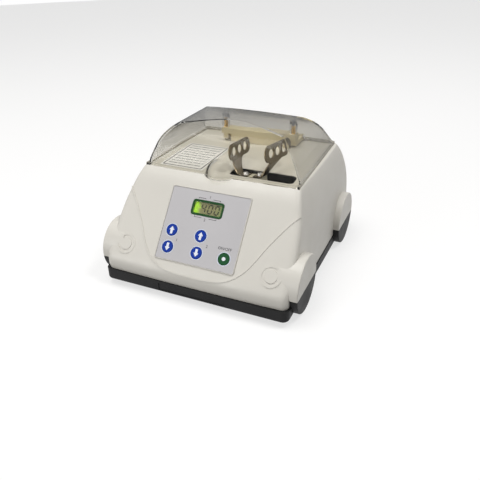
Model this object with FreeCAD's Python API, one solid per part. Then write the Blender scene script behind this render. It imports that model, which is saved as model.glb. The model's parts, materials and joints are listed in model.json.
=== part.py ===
"""Bench vibration mill: a moulded housing on a base tray with wheel-shaped feet, a clear
hinged lid over a spring-steel capsule fork, and the motor with its oblique hub that shakes
the fork arm.  Millimetres; +X right, +Y to the rear, +Z up; origin under the middle."""
import FreeCAD, Part
import os
from math import atan2, cos, hypot, pi, radians, sin, tan

from FreeCAD import Placement, Rotation, Vector

os.makedirs("parts", exist_ok=True)

X_AXIS = Vector(1, 0, 0)
Y_AXIS = Vector(0, 1, 0)
Z_AXIS = Vector(0, 0, 1)

# General clearances
SEAT_GAP = 0.3
FIT_GAP = 0.05
SLIDE_GAP = 0.3

# Housing and base, overall
BODY_HALF_WIDTH = 100.5
BODY_HALF_DEPTH = 115.0
SEAM_Z = 18.4
TOP_Z = 110.0
SHELL_WALL = 2.6
SIDE_BOW = 1.0
FRONT_BOW = 1.2
FRONT_CORNER_R = 7.0
REAR_CORNER_R = 18.0

# Sloped control panel, given by the overlay's outer face
PANEL_SLOPE = 50.4
PANEL_Y = -83.8
PANEL_Z = 70.35
PANEL_WIDTH = 85.0
PANEL_LENGTH = 74.4
OVERLAY_THICKNESS = 0.8
OVERLAY_PROUD = 0.4
PANEL_CORNER_R = 1.5

# Base tray
BASE_OVERHANG = 0.6
BASE_FLOOR_Z = 5.5
BASE_WALL = 2.6
BASE_EDGE_R = 3.0
BASE_PANEL_WIDTH = 73.0
BASE_PANEL_DEPTH = 0.6
LIP_HEIGHT = 2.0
LIP_WALL = 1.6

# Wheel-shaped feet
WHEEL_R = 29.6
WHEEL_Z = 29.8
WHEEL_SPLIT_Z = 27.5
WHEEL_FRONT_Y = -78.4
WHEEL_REAR_Y = 67.9
WHEEL_FACE_X = 107.3
WHEEL_INNER_X = 84.0
WHEEL_EDGE_R = 1.2

# Rubber feet
FOOT_R = 8.0
FOOT_X = 62.0
FOOT_Y = 92.0
FOOT_RECESS = 1.0

# Lid seat and fork slot in the deck
DECK_Z = 108.8
DECK_WALL = 2.6
LID_SEAT_GAP = 0.6
SLOT_X = 40.0
SLOT_Y = -23.8
SLOT_LENGTH = 68.0
SLOT_WIDTH = 20.0
SLOT_CORNER_R = 4.0
SLOT_SKIRT = 7.0
SKIRT_WALL = 1.8

# Lid
LID_HALF_WIDTH = 83.9
LID_FRONT_Y = -43.9
LID_REAR_Y = 91.0
LID_HEIGHT = 45.5
LID_WALL = 2.2
LID_TAPER = 0.035
LID_FOOT_BOW = 1.2
LID_FACE_BOW = 4.5
LID_RIM_HEIGHT = 3.2
LID_RIM_PROUD = 0.6
LID_BLEND_R = 6.0
TAB_R = 17.0
TAB_X = 0.5
TAB_Y = -36.8
TAB_HEIGHT = 19.0

# Lid hinge
HINGE_Y = 88.0
HINGE_Z = 113.0
HINGE_EYE_R = 3.9
HINGE_PIN_R = 1.6
HINGE_PIN_HEAD_R = 2.6
HINGE_PIN_HEAD = 1.2
YOKE_HALF_WIDTH = 44.5
YOKE_ARM_WIDTH = 6.2
YOKE_FRONT_Y = 57.5
YOKE_DEPTH = 12.0
YOKE_BOTTOM_Z = 118.0
YOKE_THICKNESS = 7.0
PEDESTAL_HALF_WIDTH = 34.0
EAR_WIDTH = 6.0
NOTCH_HALF_WIDTH = 49.0
NOTCH_HEIGHT = 6.9
LID_SCREW_X = 41.0
LID_SCREW_Y = 62.0
LID_BOSS_R = 4.2
INSERT_R = 2.2
INSERT_LENGTH = 9.0
LID_SCREW_R = 1.6
LID_SCREW_HEAD_R = 3.4
LID_SCREW_HEAD = 2.4
LID_SCREW_SEAT_Z = 139.0

# Deck label
LABEL_X = -48.0
LABEL_Y = -1.0
LABEL_WIDTH = 50.0
LABEL_LENGTH = 70.0
LABEL_THICKNESS = 0.4

# Keys on the panel: name, place across, place up the slope
KEYS = (
    ("key_speed_up", -31.7, -7.5),
    ("key_speed_down", -31.7, -24.8),
    ("key_timer_up", 0.5, -7.8),
    ("key_timer_down", 0.5, -24.8),
    ("key_start_stop", 30.1, -24.7),
)
KEY_R = 5.9
KEY_PROUD = 0.5
KEY_TRAVEL = 0.5
KEY_FLANGE_R = 7.4
KEY_FLANGE = 1.2
KEY_STEM_R = 2.0

# Display
DISPLAY_UP = 19.9
DISPLAY_WIDTH = 34.0
DISPLAY_HEIGHT = 15.6
DISPLAY_CORNER_R = 3.2
BEZEL_RIM = 1.9
BEZEL_PROUD = 0.3
BEZEL_DEPTH = 2.6
LENS_THICKNESS = 1.2
MODULE_RIM = 2.0

# Control board
BOARD_DEPTH = 10.5
BOARD_THICKNESS = 1.6
BOARD_HALF_WIDTH = 41.5
BOARD_HALF_LENGTH = 36.0
BOARD_SCREW_X = 38.5
BOARD_SCREW_UP = 33.0
BOARD_BOSS_R = 2.9
SMALL_SCREW_R = 1.3
SMALL_SCREW_HEAD_R = 2.6
SMALL_SCREW_HEAD = 1.8
SMALL_SCREW_LENGTH = 8.0
SWITCH_SIZE = 6.0
SWITCH_HEIGHT = 3.5
SWITCH_BUTTON_R = 1.75

# Round bosses in relief at the foot of the slope
LAMP_X = 79.3
LAMP_UP = -30.8
LAMP_R = 7.2
LAMP_RING_R = 10.6
LAMP_RING_WIDTH = 1.8
LAMP_HEIGHT = 0.8
LAMP_SINK = 1.1
CREASE_WIDTH = 1.1
CREASE_HEIGHT = 0.6

# Rear recess with inlet and switch
REAR_RECESS_X0 = -88.0
REAR_RECESS_X1 = 26.0
REAR_RECESS_Z0 = 30.0
REAR_RECESS_Z1 = 68.0
REAR_RECESS_DEPTH = 4.0
REAR_Z = 49.0
INLET_X = -58.0
INLET_BODY_WIDTH = 27.0
INLET_BODY_HEIGHT = 19.6
INLET_BODY_DEPTH = 17.0
INLET_FLANGE_WIDTH = 50.0
INLET_FLANGE_HEIGHT = 24.0
INLET_FLANGE = 2.0
INLET_SOCKET_WIDTH = 24.0
INLET_SOCKET_HEIGHT = 16.2
INLET_SOCKET_DEPTH = 16.0
INLET_SCREW_X = 20.0
PIN_WIDTH = 4.0
PIN_THICKNESS = 2.0
PIN_LENGTH = 14.0
PIN_PITCH = 7.0
SWITCH_X = -6.0
FRAME_WIDTH = 15.0
FRAME_HEIGHT = 21.0
FRAME_FLANGE = 1.4
FRAME_BODY_WIDTH = 13.0
FRAME_BODY_HEIGHT = 19.4
FRAME_BODY_DEPTH = 15.0
ROCKER_WIDTH = 10.0
ROCKER_HALF_HEIGHT = 8.0
ROCKER_TILT = 8.0
ROCKER_CREST = 2.9
ROCKER_PIVOT_DEPTH = 2.2
ROCKER_PIN_R = 1.2
VENT_COUNT = 7
VENT_PITCH = 6.0
VENT_WIDTH = 3.0
VENT_HEIGHT = 24.0
VENT_X = 60.0

# Housing screws from below
BASE_SCREW_X = 84.0
BASE_SCREW_FRONT_Y = -97.0
BASE_SCREW_REAR_Y = 92.0
BASE_BOSS_R = 5.0
BASE_SCREW_R = 1.75
BASE_SCREW_HEAD_R = 3.4
BASE_SCREW_HEAD = 2.4
BASE_SCREW_LENGTH = 20.0
BASE_BOSS_HEIGHT = 10.0
HOUSING_BOSS_HEIGHT = 26.0

# Motor and its carrier
HUB_X = 33.5
HUB_Y = -27.5
HUB_Z = 60.0
SHAFT_R = 3.0
MOTOR_R = 24.0
MOTOR_WALL = 1.6
MOTOR_X0 = -54.0
MOTOR_LENGTH = 62.0
BELL_LENGTH = 7.0
MOTOR_BOSS_R = 8.0
MOTOR_BOSS = 4.0
MAGNET_THICKNESS = 4.5
ARMATURE_R = 17.0
ARMATURE_LENGTH = 30.0
COMMUTATOR_R = 7.0
COMMUTATOR_LENGTH = 9.0
BRACKET_Z = 28.0
BRACKET_THICKNESS = 2.0
BRACKET_X0 = -60.0
BRACKET_X1 = 60.0
BRACKET_HALF_DEPTH = 36.0
UPRIGHT_HALF_DEPTH = 25.0
MOTOR_SCREW_PITCH = 16.0
ISOLATOR_R = 7.0
ISOLATOR_HEIGHT = 12.0
ISOLATOR_INSET = 8.0
SADDLE_LENGTH = 10.0
SADDLE_HALF_WIDTH = 15.0

# Oblique hub and bearing
OBLIQUE_ROCK = -6.5
OBLIQUE_TWIST = -4.7
JOURNAL_R = 5.0
HUB_BODY_R = 9.0
HUB_BODY_LENGTH = 10.0
BEARING_HALF_WIDTH = 4.0
INNER_RING_R = 7.0
BALL_PITCH_R = 8.0
BALL_R = 2.0
BALL_COUNT = 10
RACE_R = 10.25
OUTER_RING_R = 13.0

# Vibrating arm and fork
ARM_LEAN = -5.0
ARM_RING_R = 16.5
ARM_HALF_THICKNESS = 5.5
ARM_HEAD_Z = 47.0
ARM_HEAD_HALF_LENGTH = 14.0
ARM_HEAD_HALF_DEPTH = 6.0
ARM_HEAD_THICKNESS = 7.0
ARM_WEB_HALF_WIDTH = 4.0
ARM_TAIL = 24.0
FORK_SHEET = 1.2
FORK_FOOT_X0 = 3.5
FORK_FOOT_X1 = 13.0
FORK_PLATE_X = 20.8
FORK_PLATE_Y = 15.4
FORK_KNEE_Z = 61.0
FORK_PLATE_Z = 70.5
FORK_PLATE_HEIGHT = 17.0
FORK_PLATE_LENGTH = 50.0
FORK_LEG_FRONT = 14.0
FORK_LEG_REAR = 17.0
FORK_HOLE_R = 4.6
FORK_HOLE_PITCH = 13.0
FORK_HOLES = 3
FORK_SPLAY = 4.0
FORK_SCREW_HEAD_R = 3.2
FORK_SCREW_HEAD = 2.0
FORK_SCREW_R = 1.5
PIVOT_BOSS_R = 3.6
PIVOT_BOSS_Y = 20.5
SPRING_R = 2.4
SPRING_WIRE_R = 0.45
SPRING_TURNS = 6
SPRING_POST_Y = 33.0
SPRING_POST_R = 2.5

# Power supply
SUPPLY_X0 = -88.0
SUPPLY_X1 = 6.0
SUPPLY_Y0 = 26.0
SUPPLY_Y1 = 84.0
SUPPLY_STANDOFF = 9.0
SUPPLY_SCREW_INSET = 5.0
TRANSFORMER_X = -58.0
TRANSFORMER_Y = 56.0
TRANSFORMER_WIDTH = 44.0
TRANSFORMER_DEPTH = 36.0
TRANSFORMER_HEIGHT = 36.0
COIL_WIDTH = 26.0
COIL_DEPTH = 46.0
CAPACITOR_R = 8.0
CAPACITOR_HEIGHT = 25.0
CAPACITOR_X = -18.0

PANEL_N = Vector(0, -sin(radians(PANEL_SLOPE)), cos(radians(PANEL_SLOPE)))
PANEL_PLACE = Placement(Vector(0, PANEL_Y, PANEL_Z), Rotation(X_AXIS, PANEL_SLOPE))


def hub_point(dx=0.0, dy=0.0, dz=0.0):
    return Vector(HUB_X + dx, HUB_Y + dy, HUB_Z + dz)


# Frames of the oblique bearing and of the arm: both hang on the hub point

TILT = Placement(Vector(0, 0, 0),
                 Rotation(Z_AXIS, OBLIQUE_TWIST).multiply(Rotation(Y_AXIS, OBLIQUE_ROCK)))
LEAN = Placement(Vector(0, 0, 0), Rotation(X_AXIS, ARM_LEAN))
HUB_PLACE = Placement(hub_point(), Rotation(0, 0, 0, 1))
RING_PLACE = HUB_PLACE.multiply(TILT)
ARM_PLACE = RING_PLACE.multiply(LEAN)
ORIGIN = Vector(0, 0, 0)


# Basic helpers

def box(x0, x1, y0, y1, z0, z1):
    return Part.makeBox(x1 - x0, y1 - y0, z1 - z0, Vector(x0, y0, z0))


def rod(radius, length, base, direction=Z_AXIS):
    return Part.makeCylinder(radius, length, base, direction)


def fuse(first, *others):
    solid = first.multiFuse(list(others)) if others else first
    return solid.removeSplitter()


def placed(shape, place):
    moved = shape.copy()
    moved.Placement = place.multiply(moved.Placement)
    return moved


def on_panel(shape):
    """Put a shape drawn flat (x across, y up the slope, z outward) on the panel."""
    return placed(shape, PANEL_PLACE)


def rounded_slab(width, length, radius, z0, z1, cx=0.0, cy=0.0):
    slab = box(cx - width / 2, cx + width / 2, cy - length / 2, cy + length / 2, z0, z1)
    upright = [e for e in slab.Edges if abs(e.tangentAt(e.FirstParameter).z) > 0.99]
    return slab.makeFillet(radius, upright)


def solids_of(shapes):
    return Part.makeCompound(list(shapes))


def save(name, shape):
    shape.exportStep("parts/" + name + ".step")


def offset_points(points, distance):
    """Move an open outline sideways by a distance, to the left of its direction."""
    moved = []
    for i, (a, b) in enumerate(points):
        before = points[max(i - 1, 0)]
        after = points[min(i + 1, len(points) - 1)]
        da = after[0] - before[0]
        db = after[1] - before[1]
        size = hypot(da, db)
        moved.append((a - db / size * distance, b + da / size * distance))
    return moved


def spline(points):
    curve = Part.BSplineCurve()
    curve.interpolate(points)
    return curve.toShape()


# Housing form: plan sections from the seam up to the top

def slope_y(z):
    """Front of the housing at a height: the plane that carries the overlay."""
    behind = (OVERLAY_THICKNESS - OVERLAY_PROUD) / sin(radians(PANEL_SLOPE))
    return PANEL_Y + behind + (z - PANEL_Z) / tan(radians(PANEL_SLOPE))


BODY_SECTIONS = (
    # height, half width, front, rear, share of the corner radii
    (SEAM_Z, BODY_HALF_WIDTH - 0.4, -BODY_HALF_DEPTH + 1.3, BODY_HALF_DEPTH - 0.9, 1.0),
    (SEAM_Z + 3.5, BODY_HALF_WIDTH, -BODY_HALF_DEPTH + 0.4, BODY_HALF_DEPTH - 0.5, 1.0),
    (SEAM_Z + 8.6, BODY_HALF_WIDTH, -BODY_HALF_DEPTH, BODY_HALF_DEPTH - 0.3, 1.0),
    (33.0, BODY_HALF_WIDTH, slope_y(33.0) + 0.9, BODY_HALF_DEPTH - 0.3, 1.0),
    (38.0, BODY_HALF_WIDTH - 0.1, slope_y(38.0) + 0.1, BODY_HALF_DEPTH - 0.4, 1.0),
    (45.0, BODY_HALF_WIDTH - 0.3, slope_y(45.0), BODY_HALF_DEPTH - 0.6, 1.0),
    (60.0, BODY_HALF_WIDTH - 0.9, slope_y(60.0), BODY_HALF_DEPTH - 1.2, 1.0),
    (78.0, BODY_HALF_WIDTH - 2.9, slope_y(78.0), BODY_HALF_DEPTH - 2.6, 1.0),
    (92.0, BODY_HALF_WIDTH - 6.4, slope_y(92.0), BODY_HALF_DEPTH - 5.6, 0.95),
    (TOP_Z - 10.0, BODY_HALF_WIDTH - 9.1, slope_y(TOP_Z - 10.0), BODY_HALF_DEPTH - 8.8, 0.9),
    (TOP_Z - 5.5, BODY_HALF_WIDTH - 11.0, slope_y(TOP_Z - 5.5) + 0.7, BODY_HALF_DEPTH - 11.6, 0.85),
    (TOP_Z - 2.0, BODY_HALF_WIDTH - 12.6, slope_y(TOP_Z - 2.0) + 2.2, BODY_HALF_DEPTH - 14.8, 0.8),
    (TOP_Z, BODY_HALF_WIDTH - 14.0, slope_y(TOP_Z) + 3.6, BODY_HALF_DEPTH - 18.0, 0.75),
)


def body_section(z, half_width, front, rear, share):
    """One closed plan section: bowed sides and round corners; sizes are over the bows."""
    front_r = FRONT_CORNER_R * share
    rear_r = REAR_CORNER_R * share
    half_width -= SIDE_BOW
    front += FRONT_BOW
    rear -= SIDE_BOW
    middle = (front + rear) / 2
    q = 1 - cos(pi / 4)

    def corner(sx, y, r, sy):
        a = Vector(sx * (half_width - r), y, z)
        b = Vector(sx * (half_width - q * r), y + sy * q * r, z)
        c = Vector(sx * half_width, y + sy * r, z)
        return (a, b, c)

    fr = corner(1, front, front_r, 1)
    rr = corner(1, rear, rear_r, -1)
    rl = corner(-1, rear, rear_r, -1)
    fl = corner(-1, front, front_r, 1)
    arcs = [
        (fl[0], Vector(0, front - FRONT_BOW, z), fr[0]),
        fr,
        (fr[2], Vector(half_width + SIDE_BOW, middle, z), rr[2]),
        (rr[2], rr[1], rr[0]),
        (rr[0], Vector(0, rear + SIDE_BOW, z), rl[0]),
        rl,
        (rl[2], Vector(-half_width - SIDE_BOW, middle, z), fl[2]),
        (fl[2], fl[1], fl[0]),
    ]
    return Part.Wire([Part.Arc(*arc).toShape() for arc in arcs])


def body_form(inset=0.0, top=TOP_Z, drop=0.0):
    """The housing's solid form, inset all round by a wall or let out by a negative one."""
    slope_inset = inset / sin(radians(PANEL_SLOPE))
    wires = []
    for z, half_width, front, rear, share in BODY_SECTIONS:
        if z == SEAM_Z:
            z -= drop
        if z == TOP_Z:
            z = top
        wires.append(body_section(z, half_width - inset, front + slope_inset, rear - inset, share))
    return Part.makeLoft(wires, True, False, False, 5)


def wheel_disc(radius, inner_x, face_x, edge_r, side, y):
    disc = rod(radius, face_x - inner_x, Vector(inner_x, y, WHEEL_Z), X_AXIS)
    if edge_r > 0:
        rim = [e for e in disc.Edges if e.Closed and abs(e.CenterOfMass.x - face_x) < 0.01]
        disc = disc.makeFillet(edge_r, rim)
    if side < 0:
        disc = disc.mirror(Vector(0, 0, 0), X_AXIS)
    return disc


def wheels(radius, inner_x, face_x, edge_r):
    return [
        wheel_disc(radius, inner_x, face_x, edge_r, side, y)
        for side in (-1, 1)
        for y in (WHEEL_FRONT_Y, WHEEL_REAR_Y)
    ]


WIDE = 2 * WHEEL_FACE_X
ABOVE_SEAM = box(-WIDE, WIDE, -WIDE, WIDE, SEAM_Z, 2 * WIDE)
ABOVE_SPLIT = box(-WIDE, WIDE, -WIDE, WIDE, WHEEL_SPLIT_Z, 2 * WIDE)
BELOW_SPLIT = box(-WIDE, WIDE, -WIDE, WIDE, -WIDE, WHEEL_SPLIT_Z)


def crease_band():
    """The U-shaped bead that frames the panel, as an upright band through the slope."""
    half = [(0, -49.5), (20, -48.6), (36, -45.2), (47, -38.6), (57, -27.0), (65, -12.5),
            (74, 3.0), (84, 18.0), (93, 29.5)]
    outline = [(-x, y) for x, y in reversed(half[1:])] + half
    left = offset_points(outline, CREASE_WIDTH / 2)
    right = offset_points(outline, -CREASE_WIDTH / 2)
    a = [Vector(x, y, -12) for x, y in left]
    b = [Vector(x, y, -12) for x, y in right]
    edges = [spline(a), Part.makeLine(a[-1], b[-1]), spline(b), Part.makeLine(b[0], a[0])]
    face = Part.Face(Part.Wire(Part.__sortEdges__(edges)))
    return on_panel(face.extrude(Vector(0, 0, 16)))


def lamps():
    """Round relief discs with an outer ring, one each side of the panel."""
    found = []
    for side in (-1, 1):
        at = Vector(side * LAMP_X, LAMP_UP, -LAMP_SINK - SHELL_WALL / 2)
        height = LAMP_HEIGHT + SHELL_WALL / 2
        disc = Part.makeCone(LAMP_R, LAMP_R - 1.0, height, at)
        ring = rod(LAMP_RING_R, height - 0.3, at).cut(rod(LAMP_RING_R - LAMP_RING_WIDTH, height, at))
        found += [on_panel(disc), on_panel(ring)]
    return found


def lid_outline(gap, z0, z1):
    """The lid's footprint with its tab, let out by a gap, as a solid between two heights."""
    front_w = LID_HALF_WIDTH + gap
    rear_w = LID_HALF_WIDTH * (1 - LID_TAPER) + gap
    front_y = LID_FRONT_Y - gap
    rear_y = LID_REAR_Y + gap
    front = Part.Arc(Vector(-front_w, front_y, z0), Vector(0, front_y - LID_FOOT_BOW, z0),
                     Vector(front_w, front_y, z0))
    rest = Part.makePolygon([Vector(front_w, front_y, z0), Vector(rear_w, rear_y, z0),
                             Vector(-rear_w, rear_y, z0), Vector(-front_w, front_y, z0)])
    plate = Part.Face(Part.Wire([front.toShape()] + rest.Edges)).extrude(Vector(0, 0, z1 - z0))
    tab = rod(TAB_R + gap, z1 - z0, Vector(TAB_X, TAB_Y, z0))
    return fuse(plate, tab)


def rear_wall_y():
    return BODY_HALF_DEPTH - REAR_RECESS_DEPTH


def housing_boss(x, y):
    side = 1 if x > 0 else -1
    top = SEAM_Z + HOUSING_BOSS_HEIGHT
    post = rod(BASE_BOSS_R, HOUSING_BOSS_HEIGHT - 2, Vector(x, y, SEAM_Z + 2))
    web = box(min(x, side * WIDE), max(x, side * WIDE), y - 1, y + 1, SEAM_Z + 2, top)
    return [post, web]


def upper_housing():
    outer = body_form()
    relief = crease_band().common(body_form(-CREASE_HEIGHT, TOP_Z)).common(ABOVE_SEAM)
    arches = [w.common(ABOVE_SPLIT) for w in wheels(WHEEL_R, WHEEL_INNER_X, WHEEL_FACE_X, WHEEL_EDGE_R)]
    skin = outer.multiFuse(arches + lamps() + [relief])

    cavity_top = DECK_Z - DECK_WALL
    below = box(-WIDE, WIDE, -WIDE, WIDE, -WIDE, cavity_top)
    cavity = body_form(SHELL_WALL, TOP_Z, 1.0).common(below)
    wells = [w.common(ABOVE_SPLIT) for w in wheels(WHEEL_R - SHELL_WALL, WHEEL_INNER_X,
                                                   WHEEL_FACE_X - SHELL_WALL, 0)]
    shell = skin.cut(cavity.multiFuse(wells))

    inside = cavity
    posts = []
    for x in (-BASE_SCREW_X, BASE_SCREW_X):
        for y in (BASE_SCREW_FRONT_Y, BASE_SCREW_REAR_Y):
            posts += housing_boss(x, y)
    for x in (-BOARD_SCREW_X, BOARD_SCREW_X):
        for y in (-BOARD_SCREW_UP, BOARD_SCREW_UP):
            posts.append(on_panel(rod(BOARD_BOSS_R, BOARD_DEPTH, Vector(x, y, -BOARD_DEPTH))))
    skirt = rounded_slab(SLOT_LENGTH + 2 * SKIRT_WALL, SLOT_WIDTH + 2 * SKIRT_WALL,
                         SLOT_CORNER_R + SKIRT_WALL,
                         cavity_top - SLOT_SKIRT, TOP_Z, SLOT_X, SLOT_Y)
    sill = box(-LID_HALF_WIDTH, LID_HALF_WIDTH, HINGE_Y - 9, WIDE, cavity_top - 2, cavity_top + 1)
    pad = box(REAR_RECESS_X0 - 3, REAR_RECESS_X1 + 3, rear_wall_y() - SHELL_WALL, WIDE,
              REAR_RECESS_Z0 - 3, REAR_RECESS_Z1 + 3)
    inner_parts = [p.common(inside) for p in posts + [skirt, sill, pad]]
    shell = shell.multiFuse(inner_parts)

    cuts = [lid_outline(LID_RIM_PROUD + LID_SEAT_GAP, DECK_Z, TOP_Z + 5)]
    cuts.append(box(-LID_HALF_WIDTH, LID_HALF_WIDTH, HINGE_Y - 4, LID_REAR_Y + LID_SEAT_GAP, DECK_Z - 1.4,
                    DECK_Z + 1))
    cuts.append(rounded_slab(SLOT_LENGTH, SLOT_WIDTH, SLOT_CORNER_R, cavity_top - SLOT_SKIRT - 5,
                             TOP_Z + 5,
                             SLOT_X, SLOT_Y))
    recess = rounded_slab(PANEL_WIDTH, PANEL_LENGTH, PANEL_CORNER_R, -OVERLAY_THICKNESS, 4)
    cuts.append(on_panel(recess))
    window = rounded_slab(DISPLAY_WIDTH + 0.6, DISPLAY_HEIGHT + 0.6, DISPLAY_CORNER_R, -8, 4, 0,
                          DISPLAY_UP)
    cuts.append(on_panel(window))
    for name, across, up in KEYS:
        cuts.append(on_panel(rod(KEY_R + SLIDE_GAP, 12, Vector(across, up, -8))))
    for x in (-BOARD_SCREW_X, BOARD_SCREW_X):
        for y in (-BOARD_SCREW_UP, BOARD_SCREW_UP):
            hole = rod(SMALL_SCREW_R + FIT_GAP, BOARD_DEPTH - 4, Vector(x, y, -BOARD_DEPTH))
            cuts.append(on_panel(hole))
    for x in (-BASE_SCREW_X, BASE_SCREW_X):
        for y in (BASE_SCREW_FRONT_Y, BASE_SCREW_REAR_Y):
            cuts.append(rod(BASE_SCREW_R + FIT_GAP, HOUSING_BOSS_HEIGHT - 4, Vector(x, y, SEAM_Z)))
    cuts.append(box(REAR_RECESS_X0, REAR_RECESS_X1, rear_wall_y(), WIDE, REAR_RECESS_Z0, REAR_RECESS_Z1))
    cuts.append(box(INLET_X - INLET_BODY_WIDTH / 2 - 0.3, INLET_X + INLET_BODY_WIDTH / 2 + 0.3,
                    rear_wall_y() - 8, WIDE, REAR_Z - INLET_BODY_HEIGHT / 2 - 0.3,
                    REAR_Z + INLET_BODY_HEIGHT / 2 + 0.3))
    cuts.append(box(SWITCH_X - FRAME_BODY_WIDTH / 2 - 0.3, SWITCH_X + FRAME_BODY_WIDTH / 2 + 0.3,
                    rear_wall_y() - 8, WIDE, REAR_Z - FRAME_BODY_HEIGHT / 2 - 0.3,
                    REAR_Z + FRAME_BODY_HEIGHT / 2 + 0.3))
    for side in (-1, 1):
        hole = rod(SMALL_SCREW_R + FIT_GAP, 12,
                   Vector(INLET_X + side * INLET_SCREW_X, rear_wall_y() - 8, REAR_Z), Y_AXIS)
        cuts.append(hole)
    for i in range(VENT_COUNT):
        x = VENT_X + (i - (VENT_COUNT - 1) / 2) * VENT_PITCH
        cuts.append(box(x - VENT_WIDTH / 2, x + VENT_WIDTH / 2, BODY_HALF_DEPTH - 25, WIDE,
                        REAR_Z - VENT_HEIGHT / 2, REAR_Z + VENT_HEIGHT / 2))
    for x in (-PEDESTAL_SCREW_X, PEDESTAL_SCREW_X):
        cuts.append(rod(SMALL_SCREW_R + 0.2, 20, Vector(x, PEDESTAL_SCREW_Y, DECK_Z - 15)))
    return shell.cut(cuts)


# Base

def base_plan(inset, z0, z1):
    half_w = BODY_HALF_WIDTH + BASE_OVERHANG - inset
    half_d = BODY_HALF_DEPTH + BASE_OVERHANG - inset
    slab = box(-half_w, half_w, -half_d, half_d, z0, z1)
    front = [e for e in slab.Edges if abs(e.tangentAt(e.FirstParameter).z) > 0.99 and e.CenterOfMass.y < 0]
    slab = slab.makeFillet(max(FRONT_CORNER_R - inset, 1.0), front)
    rear = [e for e in slab.Edges if abs(e.tangentAt(e.FirstParameter).z) > 0.99 and e.CenterOfMass.y > half_d / 2]
    return slab.makeFillet(REAR_CORNER_R - inset, rear)


def isolator_places():
    return [
        (x, y)
        for x in (BRACKET_X0 + ISOLATOR_INSET, BRACKET_X1 - ISOLATOR_INSET)
        for y in (HUB_Y - BRACKET_HALF_DEPTH + ISOLATOR_INSET,
                  HUB_Y + BRACKET_HALF_DEPTH - ISOLATOR_INSET)
    ]


def supply_places():
    s = SUPPLY_SCREW_INSET
    return [(x, y) for x in (SUPPLY_X0 + s, SUPPLY_X1 - s) for y in (SUPPLY_Y0 + s, SUPPLY_Y1 - s)]


def foot_places():
    return [(x, y) for x in (-FOOT_X, FOOT_X) for y in (-FOOT_Y, FOOT_Y)]


def base_screw_places():
    return [(x, y) for x in (-BASE_SCREW_X, BASE_SCREW_X)
            for y in (BASE_SCREW_FRONT_Y, BASE_SCREW_REAR_Y)]


def base_tray():
    floor_top = BASE_FLOOR_Z + BASE_WALL
    outer = base_plan(0, BASE_FLOOR_Z, SEAM_Z)
    bottom = [e for e in outer.Edges if abs(e.BoundBox.ZMax - BASE_FLOOR_Z) < 0.01]
    outer = outer.makeFillet(BASE_EDGE_R, bottom)
    beside = body_form(-SLIDE_GAP).common(ABOVE_SEAM)
    discs = [w.common(BELOW_SPLIT).cut(beside)
             for w in wheels(WHEEL_R, WHEEL_INNER_X, WHEEL_FACE_X, WHEEL_EDGE_R)]
    tray = outer.multiFuse(discs)
    wells = wheels(WHEEL_R - SHELL_WALL, WHEEL_INNER_X + 3, WHEEL_FACE_X - SHELL_WALL, 0)
    tray = tray.cut([base_plan(BASE_WALL, floor_top, SEAM_Z + 1)] + wells)

    step = base_plan(BASE_WALL - 0.2, SEAM_Z - 3,
                     SEAM_Z).cut(base_plan(BASE_WALL + 5, SEAM_Z - 4, SEAM_Z + 1))
    band = box(-WIDE, WIDE, -WIDE, WIDE, SEAM_Z - 1, SEAM_Z + LIP_HEIGHT)
    lip = body_form(SHELL_WALL + SLIDE_GAP, TOP_Z,
                    1.0).cut(body_form(SHELL_WALL + SLIDE_GAP + LIP_WALL, TOP_Z, 2.0))
    tray = tray.multiFuse([step, lip.common(band)])
    posts = [rod(BASE_BOSS_R, SEAM_Z + 2 - SEAT_GAP - BASE_FLOOR_Z, Vector(x, y, BASE_FLOOR_Z))
             for x, y in base_screw_places()]
    posts += [rod(ISOLATOR_R - 1, BRACKET_Z - ISOLATOR_HEIGHT - floor_top, Vector(x, y, floor_top))
              for x, y in isolator_places()]
    posts += [rod(3.5, SUPPLY_STANDOFF, Vector(x, y, floor_top)) for x, y in supply_places()]
    tray = tray.multiFuse(posts)

    cuts = []
    for x, y in base_screw_places():
        cuts.append(rod(BASE_SCREW_R + FIT_GAP, 30, Vector(x, y, 0)))
        cuts.append(rod(BASE_SCREW_HEAD_R + 0.3, BASE_FLOOR_Z + BASE_SCREW_HEAD + 0.6, Vector(x, y, 0)))
    for x, y in supply_places():
        cuts.append(rod(SMALL_SCREW_R + FIT_GAP, SUPPLY_STANDOFF, Vector(x, y, floor_top + 1)))
    for x, y in isolator_places():
        cuts.append(rod(2.0 + FIT_GAP, 30, Vector(x, y, floor_top - 1)))
    for x, y in foot_places():
        cuts.append(rod(FOOT_R + 0.1, BASE_FLOOR_Z + FOOT_RECESS, Vector(x, y, 0)))
    cuts.append(box(-BASE_PANEL_WIDTH / 2, BASE_PANEL_WIDTH / 2, -WIDE,
                    -BODY_HALF_DEPTH - BASE_OVERHANG + BASE_PANEL_DEPTH,
                    BASE_FLOOR_Z + 3, SEAM_Z - 2))
    for i in range(9):
        x = (i - 4) * 9.0
        cuts.append(box(x - 1.5, x + 1.5, 40, 75, 0, floor_top + 1))
    return tray.cut(cuts)


def rubber_feet():
    return solids_of(rod(FOOT_R, BASE_FLOOR_Z + FOOT_RECESS, Vector(x, y, 0)) for x, y in foot_places())


def pan_screw(at, direction, shank_r, length, head_r, head):
    """A pan-head screw: the head's seat at the point, the shank along the direction."""
    shank = rod(shank_r, length, at, direction)
    cap = Part.makeCone(head_r, head_r * 0.72, head, at, direction * -1)
    socket = rod(head_r * 0.42, head * 0.5, at - direction * head, direction)
    return fuse(cap, shank).cut(socket)


def base_screws():
    seat = BASE_FLOOR_Z + BASE_SCREW_HEAD + 0.6
    found = []
    for x, y in base_screw_places():
        found.append(pan_screw(Vector(x, y, seat), Z_AXIS, BASE_SCREW_R, BASE_SCREW_LENGTH,
                               BASE_SCREW_HEAD_R, BASE_SCREW_HEAD))
    return solids_of(found)


# Control panel

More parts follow.
